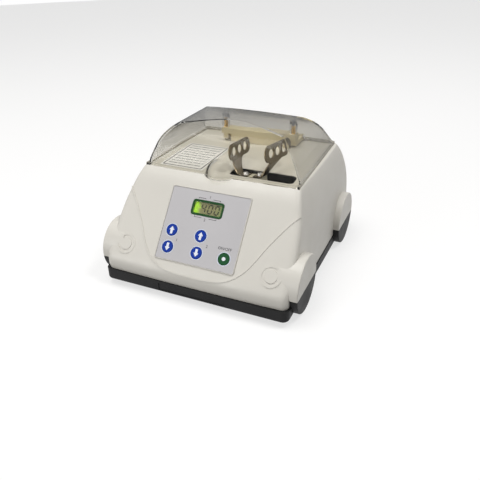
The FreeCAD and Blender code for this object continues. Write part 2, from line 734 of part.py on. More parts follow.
def control_overlay():
    sheet = rounded_slab(PANEL_WIDTH - 0.2, PANEL_LENGTH - 0.2, PANEL_CORNER_R, -OVERLAY_THICKNESS, 0)
    holes = [rod(KEY_R + SLIDE_GAP, 4, Vector(across, up, -2)) for name, across, up in KEYS]
    holes.append(rounded_slab(DISPLAY_WIDTH + 0.6, DISPLAY_HEIGHT + 0.6, DISPLAY_CORNER_R, -2, 2, 0,
                              DISPLAY_UP))
    return on_panel(sheet.cut(holes))


def key(across, up):
    wall_back = -OVERLAY_THICKNESS + OVERLAY_PROUD - SHELL_WALL
    flange_top = wall_back - SLIDE_GAP
    cap = rod(KEY_R, KEY_PROUD - flange_top, Vector(across, up, flange_top))
    rim = [e for e in cap.Edges if e.Closed and abs(e.CenterOfMass.z - KEY_PROUD) < 0.01]
    cap = cap.makeChamfer(KEY_PROUD * 0.8, rim)
    flange = rod(KEY_FLANGE_R, KEY_FLANGE, Vector(across, up, flange_top - KEY_FLANGE))
    stem_end = -BOARD_DEPTH + SWITCH_HEIGHT + KEY_TRAVEL + 0.45
    stem = rod(KEY_STEM_R, flange_top - stem_end, Vector(across, up, stem_end))
    return on_panel(fuse(cap, flange, stem))


def key_switches():
    found = []
    for name, across, up in KEYS:
        case = rounded_slab(SWITCH_SIZE, SWITCH_SIZE, 0.6, -BOARD_DEPTH,
                            -BOARD_DEPTH + SWITCH_HEIGHT - 0.4, across, up)
        button = rod(SWITCH_BUTTON_R, SWITCH_HEIGHT - 0.2, Vector(across, up, -BOARD_DEPTH))
        found.append(on_panel(fuse(case, button)))
    return solids_of(found)


def display_bezel():
    ring = rounded_slab(DISPLAY_WIDTH, DISPLAY_HEIGHT, DISPLAY_CORNER_R, -BEZEL_DEPTH, BEZEL_PROUD, 0,
                        DISPLAY_UP)
    hole = rounded_slab(DISPLAY_WIDTH - 2 * BEZEL_RIM, DISPLAY_HEIGHT - 2 * BEZEL_RIM, 1.2, -4, 2, 0,
                        DISPLAY_UP)
    return on_panel(ring.cut(hole))


def display_lens():
    lens = rounded_slab(DISPLAY_WIDTH - 2 * BEZEL_RIM - 0.1, DISPLAY_HEIGHT - 2 * BEZEL_RIM - 0.1, 1.15,
                        -LENS_THICKNESS - 0.4, -0.4, 0, DISPLAY_UP)
    return on_panel(lens)


def display_module():
    body = rounded_slab(DISPLAY_WIDTH + 2 * MODULE_RIM, DISPLAY_HEIGHT + 2 * MODULE_RIM, 1.0,
                        -BOARD_DEPTH, -3.2, 0, DISPLAY_UP)
    glass = rounded_slab(DISPLAY_WIDTH - 2 * BEZEL_RIM - 0.6, DISPLAY_HEIGHT - 2 * BEZEL_RIM - 0.6, 0.6,
                         -4, -LENS_THICKNESS - 0.45, 0, DISPLAY_UP)
    return on_panel(fuse(body, glass))


def control_board():
    board = rounded_slab(2 * BOARD_HALF_WIDTH, 2 * BOARD_HALF_LENGTH, 2.0, -BOARD_DEPTH - BOARD_THICKNESS,
                         -BOARD_DEPTH)
    holes = [rod(SMALL_SCREW_R + FIT_GAP, 6, Vector(x, y, -BOARD_DEPTH - 3))
             for x in (-BOARD_SCREW_X, BOARD_SCREW_X) for y in (-BOARD_SCREW_UP, BOARD_SCREW_UP)]
    return on_panel(board.cut(holes))


def control_board_screws():
    found = []
    for x in (-BOARD_SCREW_X, BOARD_SCREW_X):
        for y in (-BOARD_SCREW_UP, BOARD_SCREW_UP):
            seat = Vector(x, y, -BOARD_DEPTH - BOARD_THICKNESS)
            screw = pan_screw(seat, Z_AXIS, SMALL_SCREW_R, BOARD_THICKNESS + 5, SMALL_SCREW_HEAD_R,
                              SMALL_SCREW_HEAD)
            found.append(on_panel(screw))
    return solids_of(found)


# Lid

ARCH_HALF = (
    # half width and height above the lid's foot, from the foot up to the crown's edge
    (83.9, 0.0), (83.9, 3.0), (82.9, 7.0), (81.1, 11.0), (78.8, 16.0), (76.4, 21.0),
    (73.8, 26.0), (70.2, 31.0), (65.5, 36.0), (58.8, 41.0),
)
LID_FRONT = (
    # depth behind the lid's front edge, height above its foot, share of the front's bow
    (0.0, 0.0, 0.0), (1.9, 6.0, 0.5), (3.6, 11.0, 0.8), (5.4, 16.0, 1.0), (6.9, 21.0, 1.0),
    (8.9, 26.0, 0.95), (12.0, 31.0, 0.85), (17.2, 36.0, 0.7), (25.3, 40.6, 0.5), (36.0, 43.9, 0.3),
    (48.0, 45.7, 0.1),
)
LID_BACK = (
    # distance before the lid's rear edge, height above its foot, share of the rear's bow
    (0.0, 0.0, 0.0), (0.6, 1.6, 0.0), (5.0, 4.4, 0.0), (10.6, 9.7, 0.0), (16.3, 16.7, 0.0),
    (21.3, 22.9, 0.0), (26.3, 28.1, 0.0), (31.0, 32.4, 0.0), (37.5, 36.8, 0.0), (45.0, 41.0, 0.0),
    (54.0, 45.2, 0.0), (66.0, 49.2, 0.0),
)
LID_FOOT_Z = DECK_Z + SEAT_GAP


def arch_wire(y, inset, foot_drop):
    """Front-view arch of the lid at one depth, inset by the wall."""
    share = LID_HALF_WIDTH / ARCH_HALF[0][0] * (1 - LID_TAPER * (y - LID_FRONT_Y) / (LID_REAR_Y - LID_FRONT_Y))
    rise = LID_HEIGHT / 45.5
    half = [(x * share, LID_FOOT_Z + z * rise) for x, z in ARCH_HALF]
    half = offset_points(half, inset)
    right = [Vector(x, y, z) for x, z in half[1:]]
    left = [Vector(-p.x, y, p.z) for p in reversed(right)]
    foot = LID_FOOT_Z - foot_drop
    crown = Vector(0, y, LID_FOOT_Z + LID_HEIGHT - inset)
    low_right = Vector(right[0].x, y, foot)
    low_left = Vector(-right[0].x, y, foot)
    edges = [
        Part.makeLine(low_left, low_right),
        Part.makeLine(low_right, right[0]),
        spline(right),
        Part.Arc(right[-1], crown, left[0]).toShape(),
        spline(left),
        Part.makeLine(left[-1], low_left),
    ]
    return Part.Wire(edges)


def lid_side_wire(x, bow_share, inset, foot_drop):
    """Side-view outline of the lid at one place across its width."""
    rise = LID_HEIGHT / 45.5
    foot_bow = LID_FOOT_BOW * bow_share
    face_bow = (LID_FACE_BOW - LID_FOOT_BOW) * bow_share
    front = [(LID_FRONT_Y + y - foot_bow - share * face_bow, LID_FOOT_Z + z * rise) for y, z,
             share in LID_FRONT]
    back = [(LID_REAR_Y - y, LID_FOOT_Z + z * rise) for y, z, share in LID_BACK]
    front = offset_points(front, -inset)
    back = offset_points(back, inset)
    roof = LID_FOOT_Z + LID_HEIGHT + 12
    foot = LID_FOOT_Z - foot_drop - 1
    f = [Vector(x, a, b) for a, b in front]
    r = [Vector(x, a, b) for a, b in reversed(back)]
    front_top = Vector(x, f[-1].y, roof)
    rear_top = Vector(x, r[0].y, roof)
    front_foot = Vector(x, f[0].y, foot)
    rear_foot = Vector(x, r[-1].y, foot)
    return Part.Wire([Part.makeLine(front_foot, f[0]), spline(f), Part.makeLine(f[-1], front_top),
                      Part.makeLine(front_top, rear_top), Part.makeLine(rear_top, r[0]), spline(r),
                      Part.makeLine(r[-1], rear_foot), Part.makeLine(rear_foot, front_foot)])


def lid_side_form(inset, foot_drop):
    """The side-view outline carried across the width, with the front bowed outward."""
    reach = 1.1 * LID_HALF_WIDTH
    wires = [lid_side_wire(x * reach, 1 - x * x, inset, foot_drop) for x in (-1, -0.5, 0, 0.5, 1)]
    return Part.makeLoft(wires, True, False, False, 5)


def tab_dome(radius, height, drop):
    """Finger tab: half of a tall round dome that swells out of the lid's front."""
    arc = [Vector(TAB_X + radius * cos(a), TAB_Y, LID_FOOT_Z + height * sin(a))
           for a in (i * pi / 16 for i in range(9))]
    arc[-1] = Vector(TAB_X, TAB_Y, LID_FOOT_Z + height)
    low = Vector(TAB_X + radius, TAB_Y, LID_FOOT_Z - drop)
    axis_low = Vector(TAB_X, TAB_Y, LID_FOOT_Z - drop)
    edges = [Part.makeLine(axis_low, low)]
    if drop > 0:
        edges.append(Part.makeLine(low, arc[0]))
    edges += [spline(arc), Part.makeLine(arc[-1], axis_low)]
    return Part.Face(Part.Wire(edges)).revolve(Vector(TAB_X, TAB_Y, 0), Z_AXIS, 360)


def lid_block(inset, foot_drop):
    """The lid's solid form without its tab: the arch cut to the side-view outline."""
    ends = [arch_wire(LID_FRONT_Y - 20, inset, foot_drop), arch_wire(LID_REAR_Y + 10, inset, foot_drop)]
    tunnel = Part.makeLoft(ends, True, True)
    return tunnel.common(lid_side_form(inset, foot_drop))


def lid_form(inset, foot_drop):
    block = lid_block(inset, 0)
    front_edges = [e for e in block.Edges if e.BoundBox.YMax < LID_FRONT_Y + 60
                   and e.BoundBox.ZMin > LID_FOOT_Z + 1 and e.BoundBox.ZMax > LID_FOOT_Z + 30]
    block = block.makeFillet(LID_BLEND_R - inset, front_edges)
    parts = [tab_dome(TAB_R - inset, TAB_HEIGHT - inset, foot_drop)]
    if foot_drop > 0:
        low = box(-WIDE, WIDE, -WIDE, WIDE, 0, LID_FOOT_Z + 0.5)
        parts.append(lid_block(inset, foot_drop).common(low))
    return block.multiFuse(parts)


def lid_boss_axis(side):
    return Vector(side * LID_SCREW_X, LID_SCREW_Y, 0)


def lid_shell():
    outer = lid_form(0, 0)
    inner = lid_form(LID_WALL, 1.0)
    rim = lid_outline(LID_RIM_PROUD, LID_FOOT_Z, LID_FOOT_Z + LID_RIM_HEIGHT)
    shell = outer.fuse(rim).cut(inner)
    bar_top = YOKE_BOTTOM_Z + YOKE_THICKNESS
    cuts = [box(-NOTCH_HALF_WIDTH, NOTCH_HALF_WIDTH, HINGE_Y - 14, LID_REAR_Y + 5, 0,
                LID_FOOT_Z + NOTCH_HEIGHT)]
    bosses = []
    for side in (-1, 1):
        at = lid_boss_axis(side)
        bosses.append(rod(LID_BOSS_R, 40, at + Z_AXIS * (bar_top + SEAT_GAP)).common(outer))
        cuts.append(rod(LID_SCREW_R + 0.1, 60, at + Z_AXIS * bar_top))
        cuts.append(rod(INSERT_R + FIT_GAP, INSERT_LENGTH + 0.2, at + Z_AXIS * bar_top))
        cuts.append(rod(LID_SCREW_HEAD_R + 0.4, 20, at + Z_AXIS * LID_SCREW_SEAT_Z))
    return shell.multiFuse(bosses).cut(cuts)


def hinge_arm_profile(side):
    """The yoke's arm: down behind the bar, back along the deck and round the pin."""
    x0 = YOKE_HALF_WIDTH - YOKE_ARM_WIDTH if side > 0 else -YOKE_HALF_WIDTH
    low = DECK_Z + 1.4
    rear = YOKE_FRONT_Y + YOKE_DEPTH
    drop = box(x0, x0 + YOKE_ARM_WIDTH, rear - 7.5, rear, low, YOKE_BOTTOM_Z + 1)
    run = box(x0, x0 + YOKE_ARM_WIDTH, rear - 3, HINGE_Y, low, HINGE_Z + 1.5)
    eye = rod(HINGE_EYE_R, YOKE_ARM_WIDTH, Vector(x0, HINGE_Y, HINGE_Z), X_AXIS)
    return [drop, run, eye]


def hinge_yoke():
    bar = box(-YOKE_HALF_WIDTH, YOKE_HALF_WIDTH, YOKE_FRONT_Y, YOKE_FRONT_Y + YOKE_DEPTH,
              YOKE_BOTTOM_Z, YOKE_BOTTOM_Z + YOKE_THICKNESS)
    top = [e for e in bar.Edges if e.BoundBox.ZMin > YOKE_BOTTOM_Z + YOKE_THICKNESS - 0.01]
    bar = bar.makeFillet(1.2, top)
    arms = hinge_arm_profile(-1) + hinge_arm_profile(1)
    yoke = fuse(bar, *arms)
    cuts = [rod(HINGE_PIN_R + FIT_GAP, 2 * WIDE, Vector(-WIDE, HINGE_Y, HINGE_Z), X_AXIS)]
    for side in (-1, 1):
        cuts.append(rod(INSERT_R, 5, lid_boss_axis(side) + Z_AXIS * (YOKE_BOTTOM_Z + YOKE_THICKNESS - 4)))
    return yoke.cut(cuts)


PEDESTAL_SCREW_X = 24.0
PEDESTAL_SCREW_Y = YOKE_FRONT_Y + 8.0


def hinge_bracket():
    """Fixed pedestal under the yoke's bar, with an ear each side that holds the pin."""
    block = box(-PEDESTAL_HALF_WIDTH, PEDESTAL_HALF_WIDTH, YOKE_FRONT_Y + 2,
                YOKE_FRONT_Y + YOKE_DEPTH + 2,
                DECK_Z, YOKE_BOTTOM_Z - SEAT_GAP)
    ear_outer = YOKE_HALF_WIDTH - YOKE_ARM_WIDTH - SLIDE_GAP
    pieces = []
    for side in (-1, 1):
        x0 = ear_outer - EAR_WIDTH if side > 0 else -ear_outer
        pieces.append(box(x0, x0 + EAR_WIDTH, YOKE_FRONT_Y + YOKE_DEPTH, HINGE_Y, DECK_Z, HINGE_Z + 1.5))
        pieces.append(rod(HINGE_EYE_R, EAR_WIDTH, Vector(x0, HINGE_Y, HINGE_Z), X_AXIS))
    bracket = fuse(block, *pieces)
    cuts = [rod(HINGE_PIN_R + 0.02, 2 * WIDE, Vector(-WIDE, HINGE_Y, HINGE_Z), X_AXIS)]
    for x in (-PEDESTAL_SCREW_X, PEDESTAL_SCREW_X):
        cuts.append(rod(SMALL_SCREW_R, 7, Vector(x, PEDESTAL_SCREW_Y, DECK_Z - 0.5)))
    return bracket.cut(cuts)


def pedestal_screws():
    found = []
    for x in (-PEDESTAL_SCREW_X, PEDESTAL_SCREW_X):
        seat = Vector(x, PEDESTAL_SCREW_Y, DECK_Z - DECK_WALL)
        found.append(pan_screw(seat, Z_AXIS, SMALL_SCREW_R, DECK_WALL + 6, SMALL_SCREW_HEAD_R,
                               SMALL_SCREW_HEAD))
    return solids_of(found)


def hinge_pins():
    ear_inner = YOKE_HALF_WIDTH - YOKE_ARM_WIDTH - SLIDE_GAP - EAR_WIDTH
    found = []
    for side in (-1, 1):
        direction = X_AXIS * side
        start = Vector(side * ear_inner, HINGE_Y, HINGE_Z)
        length = YOKE_HALF_WIDTH + SLIDE_GAP - ear_inner
        shaft = rod(HINGE_PIN_R, length, start, direction)
        head = rod(HINGE_PIN_HEAD_R, HINGE_PIN_HEAD, start + direction * length, direction)
        found.append(fuse(shaft, head))
    return solids_of(found)


def lid_inserts():
    base = YOKE_BOTTOM_Z + YOKE_THICKNESS - 4
    found = []
    for side in (-1, 1):
        at = lid_boss_axis(side) + Z_AXIS * base
        sleeve = rod(INSERT_R, 4 + INSERT_LENGTH, at).cut(rod(LID_SCREW_R + 0.02, 30, at + Z_AXIS * 4))
        found.append(sleeve)
    return solids_of(found)


def lid_screws():
    length = LID_SCREW_SEAT_Z - YOKE_BOTTOM_Z - YOKE_THICKNESS - 0.5
    found = []
    for side in (-1, 1):
        at = lid_boss_axis(side) + Z_AXIS * LID_SCREW_SEAT_Z
        found.append(pan_screw(at, Z_AXIS * -1, LID_SCREW_R, length, LID_SCREW_HEAD_R, LID_SCREW_HEAD))
    return solids_of(found)


def deck_label():
    return rounded_slab(LABEL_WIDTH, LABEL_LENGTH, 2.0, DECK_Z, DECK_Z + LABEL_THICKNESS, LABEL_X,
                        LABEL_Y)


# Motor

def motor_axis(x):
    return Vector(x, HUB_Y, HUB_Z)


MOTOR_X1 = MOTOR_X0 + MOTOR_LENGTH
CAN_X0 = MOTOR_X0 + BELL_LENGTH
CAN_X1 = MOTOR_X1 - BELL_LENGTH
MID_X = (CAN_X0 + CAN_X1) / 2


def motor_can():
    length = CAN_X1 - CAN_X0
    return rod(MOTOR_R, length, motor_axis(CAN_X0),
               X_AXIS).cut(rod(MOTOR_R - MOTOR_WALL, length, motor_axis(CAN_X0), X_AXIS))


def end_bell(x, direction):
    """A cupped end cover with a bearing boss; direction points away from the can."""
    at = motor_axis(x)
    cup = rod(MOTOR_R, BELL_LENGTH, at, direction)
    rim = [e for e in cup.Edges if e.Closed and (e.CenterOfMass - at).dot(direction) > BELL_LENGTH / 2]
    cup = cup.makeFillet(2.0, rim)
    boss = rod(MOTOR_BOSS_R, BELL_LENGTH + MOTOR_BOSS, at, direction)
    hollow = rod(MOTOR_R - 3, BELL_LENGTH - 2.5, at, direction)
    hole = rod(SHAFT_R + FIT_GAP, BELL_LENGTH + MOTOR_BOSS + 1, at - direction * 0.5, direction)
    return fuse(cup, boss).cut([hollow, hole])


def motor_end_bells():
    front = end_bell(CAN_X1, X_AXIS)
    for sy in (-1, 1):
        hole = rod(SMALL_SCREW_R + FIT_GAP, BELL_LENGTH + 1,
                   motor_axis(CAN_X1) + Vector(0, sy * MOTOR_SCREW_PITCH, 0), X_AXIS)
        front = front.cut(hole)
    rear = end_bell(CAN_X0, X_AXIS * -1)
    return solids_of([front, rear])


def field_magnets():
    length = ARMATURE_LENGTH + 4
    outer = rod(MOTOR_R - MOTOR_WALL, length, motor_axis(MID_X - length / 2), X_AXIS)
    ring = outer.cut(rod(MOTOR_R - MOTOR_WALL - MAGNET_THICKNESS, length, motor_axis(MID_X - length / 2),
                         X_AXIS))
    gap = box(-WIDE, WIDE, HUB_Y - WIDE, HUB_Y + WIDE, HUB_Z - 6, HUB_Z + 6)
    return ring.cut(gap)


def motor_shaft():
    start = MOTOR_X0 - MOTOR_BOSS - 3
    return rod(SHAFT_R, HUB_X + 10 - start, motor_axis(start), X_AXIS)


def armature():
    start = motor_axis(MID_X - ARMATURE_LENGTH / 2)
    stack = rod(ARMATURE_R, ARMATURE_LENGTH, start, X_AXIS)
    slots = []
    for i in range(8):
        angle = 2 * pi * i / 8
        at = start + Vector(0, cos(angle) * ARMATURE_R, sin(angle) * ARMATURE_R)
        slots.append(rod(2.0, ARMATURE_LENGTH, at, X_AXIS))
    return stack.cut(slots + [rod(SHAFT_R, ARMATURE_LENGTH, start, X_AXIS)])


def commutator():
    start = motor_axis(MID_X - ARMATURE_LENGTH / 2 - COMMUTATOR_LENGTH - 1)
    return rod(COMMUTATOR_R, COMMUTATOR_LENGTH, start,
               X_AXIS).cut(rod(SHAFT_R, COMMUTATOR_LENGTH, start, X_AXIS))


def motor_bracket():
    y0 = HUB_Y - BRACKET_HALF_DEPTH
    y1 = HUB_Y + BRACKET_HALF_DEPTH
    top = BRACKET_Z + BRACKET_THICKNESS
    plate = box(BRACKET_X0, BRACKET_X1, y0, y1, BRACKET_Z, top)
    face = MOTOR_X1
    upright = box(face, face + BRACKET_THICKNESS, HUB_Y - UPRIGHT_HALF_DEPTH, HUB_Y + UPRIGHT_HALF_DEPTH,
                  BRACKET_Z, HUB_Z + MOTOR_R + 2)
    edges = [e for e in upright.Edges if abs(e.tangentAt(e.FirstParameter).x) > 0.99 and e.CenterOfMass.z > HUB_Z]
    upright = upright.makeFillet(12.0, edges)
    gussets = []
    for sy in (-1, 1):
        y = HUB_Y + sy * (UPRIGHT_HALF_DEPTH - 1)
        a = Vector(face + BRACKET_THICKNESS, y - 1, top)
        tri = Part.makePolygon([a, a + Vector(14, 0, 0), a + Vector(0, 0, 30), a])
        gussets.append(Part.Face(tri).extrude(Vector(0, 2, 0)))
    posts = []
    for sy in (-1, 1):
        at = RING_PLACE.multVec(Vector(0, sy * SPRING_POST_Y, 0))
        posts.append(rod(SPRING_POST_R, HUB_Z + SPRING_R + 2 - top, Vector(at.x, at.y, top)))
    bracket = fuse(plate, upright, *(gussets + posts))
    cuts = [rod(MOTOR_BOSS_R + 0.1, 10, motor_axis(face - 2), X_AXIS)]
    for sy in (-1, 1):
        cuts.append(rod(SMALL_SCREW_R + FIT_GAP, 10,
                        motor_axis(face - 2) + Vector(0, sy * MOTOR_SCREW_PITCH, 0), X_AXIS))
    for x, y in isolator_places():
        cuts.append(rod(2.0 + FIT_GAP, 10, Vector(x, y, BRACKET_Z - 2)))
    return bracket.cut(cuts)


def motor_screws():
    found = []
    for sy in (-1, 1):
        seat = motor_axis(MOTOR_X1 + BRACKET_THICKNESS) + Vector(0, sy * MOTOR_SCREW_PITCH, 0)
        found.append(pan_screw(seat, X_AXIS * -1, SMALL_SCREW_R, 6, SMALL_SCREW_HEAD_R, SMALL_SCREW_HEAD))
    return solids_of(found)


def motor_saddle():
    x0 = CAN_X0 + 2
    top = BRACKET_Z + BRACKET_THICKNESS
    block = box(x0, x0 + SADDLE_LENGTH, HUB_Y - SADDLE_HALF_WIDTH, HUB_Y + SADDLE_HALF_WIDTH, top,
                HUB_Z - MOTOR_R + 8)
    return block.cut(rod(MOTOR_R, 2 * SADDLE_LENGTH, motor_axis(x0 - 2), X_AXIS))


def isolators():
    found = []
    for x, y in isolator_places():
        z0 = BRACKET_Z - ISOLATOR_HEIGHT
        barrel = rod(ISOLATOR_R, ISOLATOR_HEIGHT, Vector(x, y, z0))
        groove = Part.makeTorus(ISOLATOR_R + 1.5, 2.5, Vector(x, y, z0 + ISOLATOR_HEIGHT / 2))
        found.append(barrel.cut([groove, rod(2.0 + FIT_GAP, 2 * ISOLATOR_HEIGHT, Vector(x, y, z0 - 2))]))
    return solids_of(found)


def isolator_screws():
    top = BRACKET_Z + BRACKET_THICKNESS
    found = []
    for x, y in isolator_places():
        found.append(pan_screw(Vector(x, y, top), Z_AXIS * -1, 2.0, top - BASE_FLOOR_Z - BASE_WALL, 3.6,
                               2.4))
    return solids_of(found)


# Oblique hub, bearing and arm; the arm is drawn upright about the hub point and then leant

def local_rod(radius, x0, x1):
    return rod(radius, x1 - x0, Vector(x0, 0, 0), X_AXIS)


def oblique_hub():
    journal = placed(local_rod(JOURNAL_R, -BEARING_HALF_WIDTH - 1.5, BEARING_HALF_WIDTH + 1.0),
                     RING_PLACE)
    body = rod(HUB_BODY_R - 2.4, HUB_BODY_LENGTH, hub_point(-BEARING_HALF_WIDTH - 1.0 - HUB_BODY_LENGTH),
               X_AXIS)
    hub = fuse(journal, body)
    bore = rod(SHAFT_R, 60, hub_point(-40), X_AXIS)
    tapped = rod(1.5, 20, hub_point(-BEARING_HALF_WIDTH - HUB_BODY_LENGTH / 2 - 2))
    return hub.cut([bore, tapped])


def hub_set_screw():
    at = hub_point(-BEARING_HALF_WIDTH - HUB_BODY_LENGTH / 2 - 2, 0, SHAFT_R)
    return rod(1.5 - FIT_GAP / 2, HUB_BODY_R - 2.4 - SHAFT_R, at)


def hub_retainer():
    """Collar on the shaft's end that keeps the bearing on the journal."""
    start = hub_point(BEARING_HALF_WIDTH + 1.6)
    collar = rod(6.2, 4.0, start, X_AXIS).cut(rod(SHAFT_R, 4.0, start, X_AXIS))
    journal = placed(local_rod(JOURNAL_R + 0.05, -10, BEARING_HALF_WIDTH + 1.05), RING_PLACE)
    return collar.cut(journal)


def bearing_inner_ring():
    ring = local_rod(INNER_RING_R, -BEARING_HALF_WIDTH, BEARING_HALF_WIDTH)
    groove = Part.makeTorus(BALL_PITCH_R, BALL_R + FIT_GAP, ORIGIN, X_AXIS)
    return placed(ring.cut([local_rod(JOURNAL_R, -9, 9), groove]), RING_PLACE)


def bearing_balls():
    found = []
    for i in range(BALL_COUNT):
        angle = 2 * pi * (i + 0.5) / BALL_COUNT
        centre = Vector(0, cos(angle) * BALL_PITCH_R, sin(angle) * BALL_PITCH_R)
        found.append(placed(Part.makeSphere(BALL_R, centre), RING_PLACE))
    return solids_of(found)


def bearing_outer_ring():
    ring = local_rod(OUTER_RING_R, -BEARING_HALF_WIDTH, BEARING_HALF_WIDTH)
    return placed(ring.cut(Part.makeSphere(RACE_R)), ARM_PLACE)


def vibration_arm():
    """Forked casting: bearing ring at the hub, tapered web and a flat head for the fork."""
    ring = local_rod(ARM_RING_R, -ARM_HALF_THICKNESS, ARM_HALF_THICKNESS)
    t = ARM_HALF_THICKNESS
    web_points = [
        Vector(-t, -ARM_RING_R * 0.72, ARM_RING_R * 0.6),
        Vector(-t, ARM_RING_R * 0.72, ARM_RING_R * 0.6),
        Vector(-t, ARM_HEAD_HALF_DEPTH, ARM_HEAD_Z - ARM_HEAD_THICKNESS / 2),
        Vector(-t, -ARM_HEAD_HALF_DEPTH, ARM_HEAD_Z - ARM_HEAD_THICKNESS / 2),
    ]
    web = Part.Face(Part.makePolygon(web_points + [web_points[0]])).extrude(Vector(2 * t, 0, 0))
    head = box(-ARM_HEAD_HALF_LENGTH, ARM_HEAD_HALF_LENGTH, -ARM_HEAD_HALF_DEPTH, ARM_HEAD_HALF_DEPTH,
               ARM_HEAD_Z - ARM_HEAD_THICKNESS, ARM_HEAD_Z)
    edges = [e for e in head.Edges if abs(e.tangentAt(e.FirstParameter).z) > 0.99]
    head = head.makeFillet(3.0, edges)
    tail = box(-ARM_WEB_HALF_WIDTH, ARM_WEB_HALF_WIDTH, -5, 5, -ARM_TAIL - 4, -ARM_RING_R + 2)
    arm = fuse(ring, web, head, tail)
    bore = local_rod(OUTER_RING_R, -20, 20)
    pockets = []
    for side in (-1, 1):
        x = t - 1.6 if side > 0 else -t - 1
        pocket = [Vector(x, -5, ARM_RING_R + 3), Vector(x, 5, ARM_RING_R + 3),
                  Vector(x, 3.6, ARM_HEAD_Z - ARM_HEAD_THICKNESS - 3),
                  Vector(x, -3.6, ARM_HEAD_Z - ARM_HEAD_THICKNESS - 3)]
        pockets.append(Part.Face(Part.makePolygon(pocket + [pocket[0]])).extrude(Vector(2.6, 0, 0)))
    holes = []
    for side in (-1, 1):
        x = side * (FORK_FOOT_X0 + FORK_FOOT_X1) / 2
        splay = Placement(Vector(0, 0, 0), Rotation(Z_AXIS, -side * FORK_SPLAY))
        holes.append(placed(rod(FORK_SCREW_R + FIT_GAP, 6, Vector(x, 0, ARM_HEAD_Z - 5.5)), splay))
    pivots = rod(PIVOT_BOSS_R, 2 * PIVOT_BOSS_Y, Vector(0, -PIVOT_BOSS_Y, 0), Y_AXIS)
    pivots = placed(pivots, RING_PLACE).cut(placed(local_rod(ARM_RING_R - 1, -20, 20), ARM_PLACE))
    arm = placed(arm, ARM_PLACE).fuse(pivots)
    return arm.cut([placed(tool, ARM_PLACE) for tool in [bore] + pockets + holes])


def fork_leaf(side):
    """One spring-steel leaf: foot on the arm's head, waisted sloping leg, capsule plate."""
    x0 = FORK_FOOT_X0
    x1 = FORK_FOOT_X1
    x2 = FORK_PLATE_X
    z0 = ARM_HEAD_Z
    z1 = FORK_KNEE_Z
    z2 = FORK_PLATE_Z + FORK_PLATE_HEIGHT
    t = FORK_SHEET
    middle = [(x0, z0 + t / 2), (x1, z0 + t / 2), (x2, z1), (x2, z2)]
    upper = offset_mitred(middle, t / 2)
    lower = offset_mitred(middle, -t / 2)
    outline = [Vector(x, -60, z) for x, z in upper + lower[::-1]]
    strip = Part.Face(Part.makePolygon(outline + [outline[0]])).extrude(Vector(0, 120, 0))
    strip = strip.removeSplitter()
    bends = [e for e in strip.Edges if abs(e.tangentAt(e.FirstParameter).y) > 0.99]
    inner = [e for e in bends if near_knee(e, upper[1]) or near_knee(e, upper[2])]
    outer = [e for e in bends if near_knee(e, lower[1]) or near_knee(e, lower[2])]
    strip = strip.makeFillet(1.6, inner)
    bends = [e for e in strip.Edges if abs(e.tangentAt(e.FirstParameter).y) > 0.99]
    outer = [e for e in bends if near_knee(e, lower[1]) or near_knee(e, lower[2])]
    strip = strip.makeFillet(1.6 + t, outer)
    leaf = strip.common(leaf_outline())
    holes = [rod(FORK_SCREW_R + 0.1, 10, Vector((x0 + x1) / 2, 0, z0 - 3))]
    for i in range(FORK_HOLES):
        y = FORK_PLATE_Y + (i - (FORK_HOLES - 1) / 2) * FORK_HOLE_PITCH
        holes.append(rod(FORK_HOLE_R, 20, Vector(x2 - 10, y, FORK_PLATE_Z), X_AXIS))
    leaf = leaf.cut(holes)
    if side < 0:
        leaf = leaf.mirror(ORIGIN, X_AXIS)
    splay = Placement(Vector(0, 0, 0), Rotation(Z_AXIS, -side * FORK_SPLAY))
    return placed(leaf, ARM_PLACE.multiply(splay))


def near_knee(edge, point):
    c = edge.CenterOfMass
    return hypot(c.x - point[0], c.z - point[1]) < 0.05


def offset_mitred(points, distance):
    """Offset an open polyline to its left, keeping straight runs parallel."""
    moved = []
    for i, (a, b) in enumerate(points):
        directions = []
        if i > 0:
            directions.append(atan2(b - points[i - 1][1], a - points[i - 1][0]))
        if i < len(points) - 1:
            directions.append(atan2(points[i + 1][1] - b, points[i + 1][0] - a))
        mean = sum(directions) / len(directions)
        reach = distance / cos((directions[-1] - directions[0]) / 2)
        moved.append((a - sin(mean) * reach, b + cos(mean) * reach))
    return moved


def leaf_outline():
    """Side view of a leaf: round-ended plate, leg sweeping back to it, narrow foot."""
    half_l = FORK_PLATE_LENGTH / 2
    half_h = FORK_PLATE_HEIGHT / 2
    mid = FORK_PLATE_Y
    low = FORK_PLATE_Z - half_h + 2.5
    plate = rounded_block_x(mid - half_l, mid + half_l, FORK_PLATE_Z - half_h, FORK_PLATE_Z + half_h,
                            half_h - 0.3)
    foot = ARM_HEAD_HALF_DEPTH
    neck = ARM_HEAD_Z + 3.0

    def point(y, z):
        return Vector(-60, y, z)

    front_top = point(mid - FORK_LEG_FRONT, low)
    rear_top = point(mid + FORK_LEG_REAR, low)
    edges = [
        Part.makeLine(point(-foot, ARM_HEAD_Z - 2), point(foot, ARM_HEAD_Z - 2)),
        Part.makeLine(point(foot, ARM_HEAD_Z - 2), point(foot, neck)),
        Part.Arc(point(foot, neck), point(foot + 6.5, neck + 6.5), rear_top).toShape(),
        Part.makeLine(rear_top, front_top),
        Part.Arc(front_top, point(-foot + 1.6, neck + 6.5), point(-foot, neck)).toShape(),
        Part.makeLine(point(-foot, neck), point(-foot, ARM_HEAD_Z - 2)),
    ]
    leg = Part.Face(Part.Wire(edges)).extrude(Vector(120, 0, 0))
    return fuse(plate, leg)


def rounded_block_x(y0, y1, z0, z1, radius):
    block = box(-60, 60, y0, y1, z0, z1)
    edges = [e for e in block.Edges if abs(e.tangentAt(e.FirstParameter).x) > 0.99]
    return block.makeFillet(radius, edges)


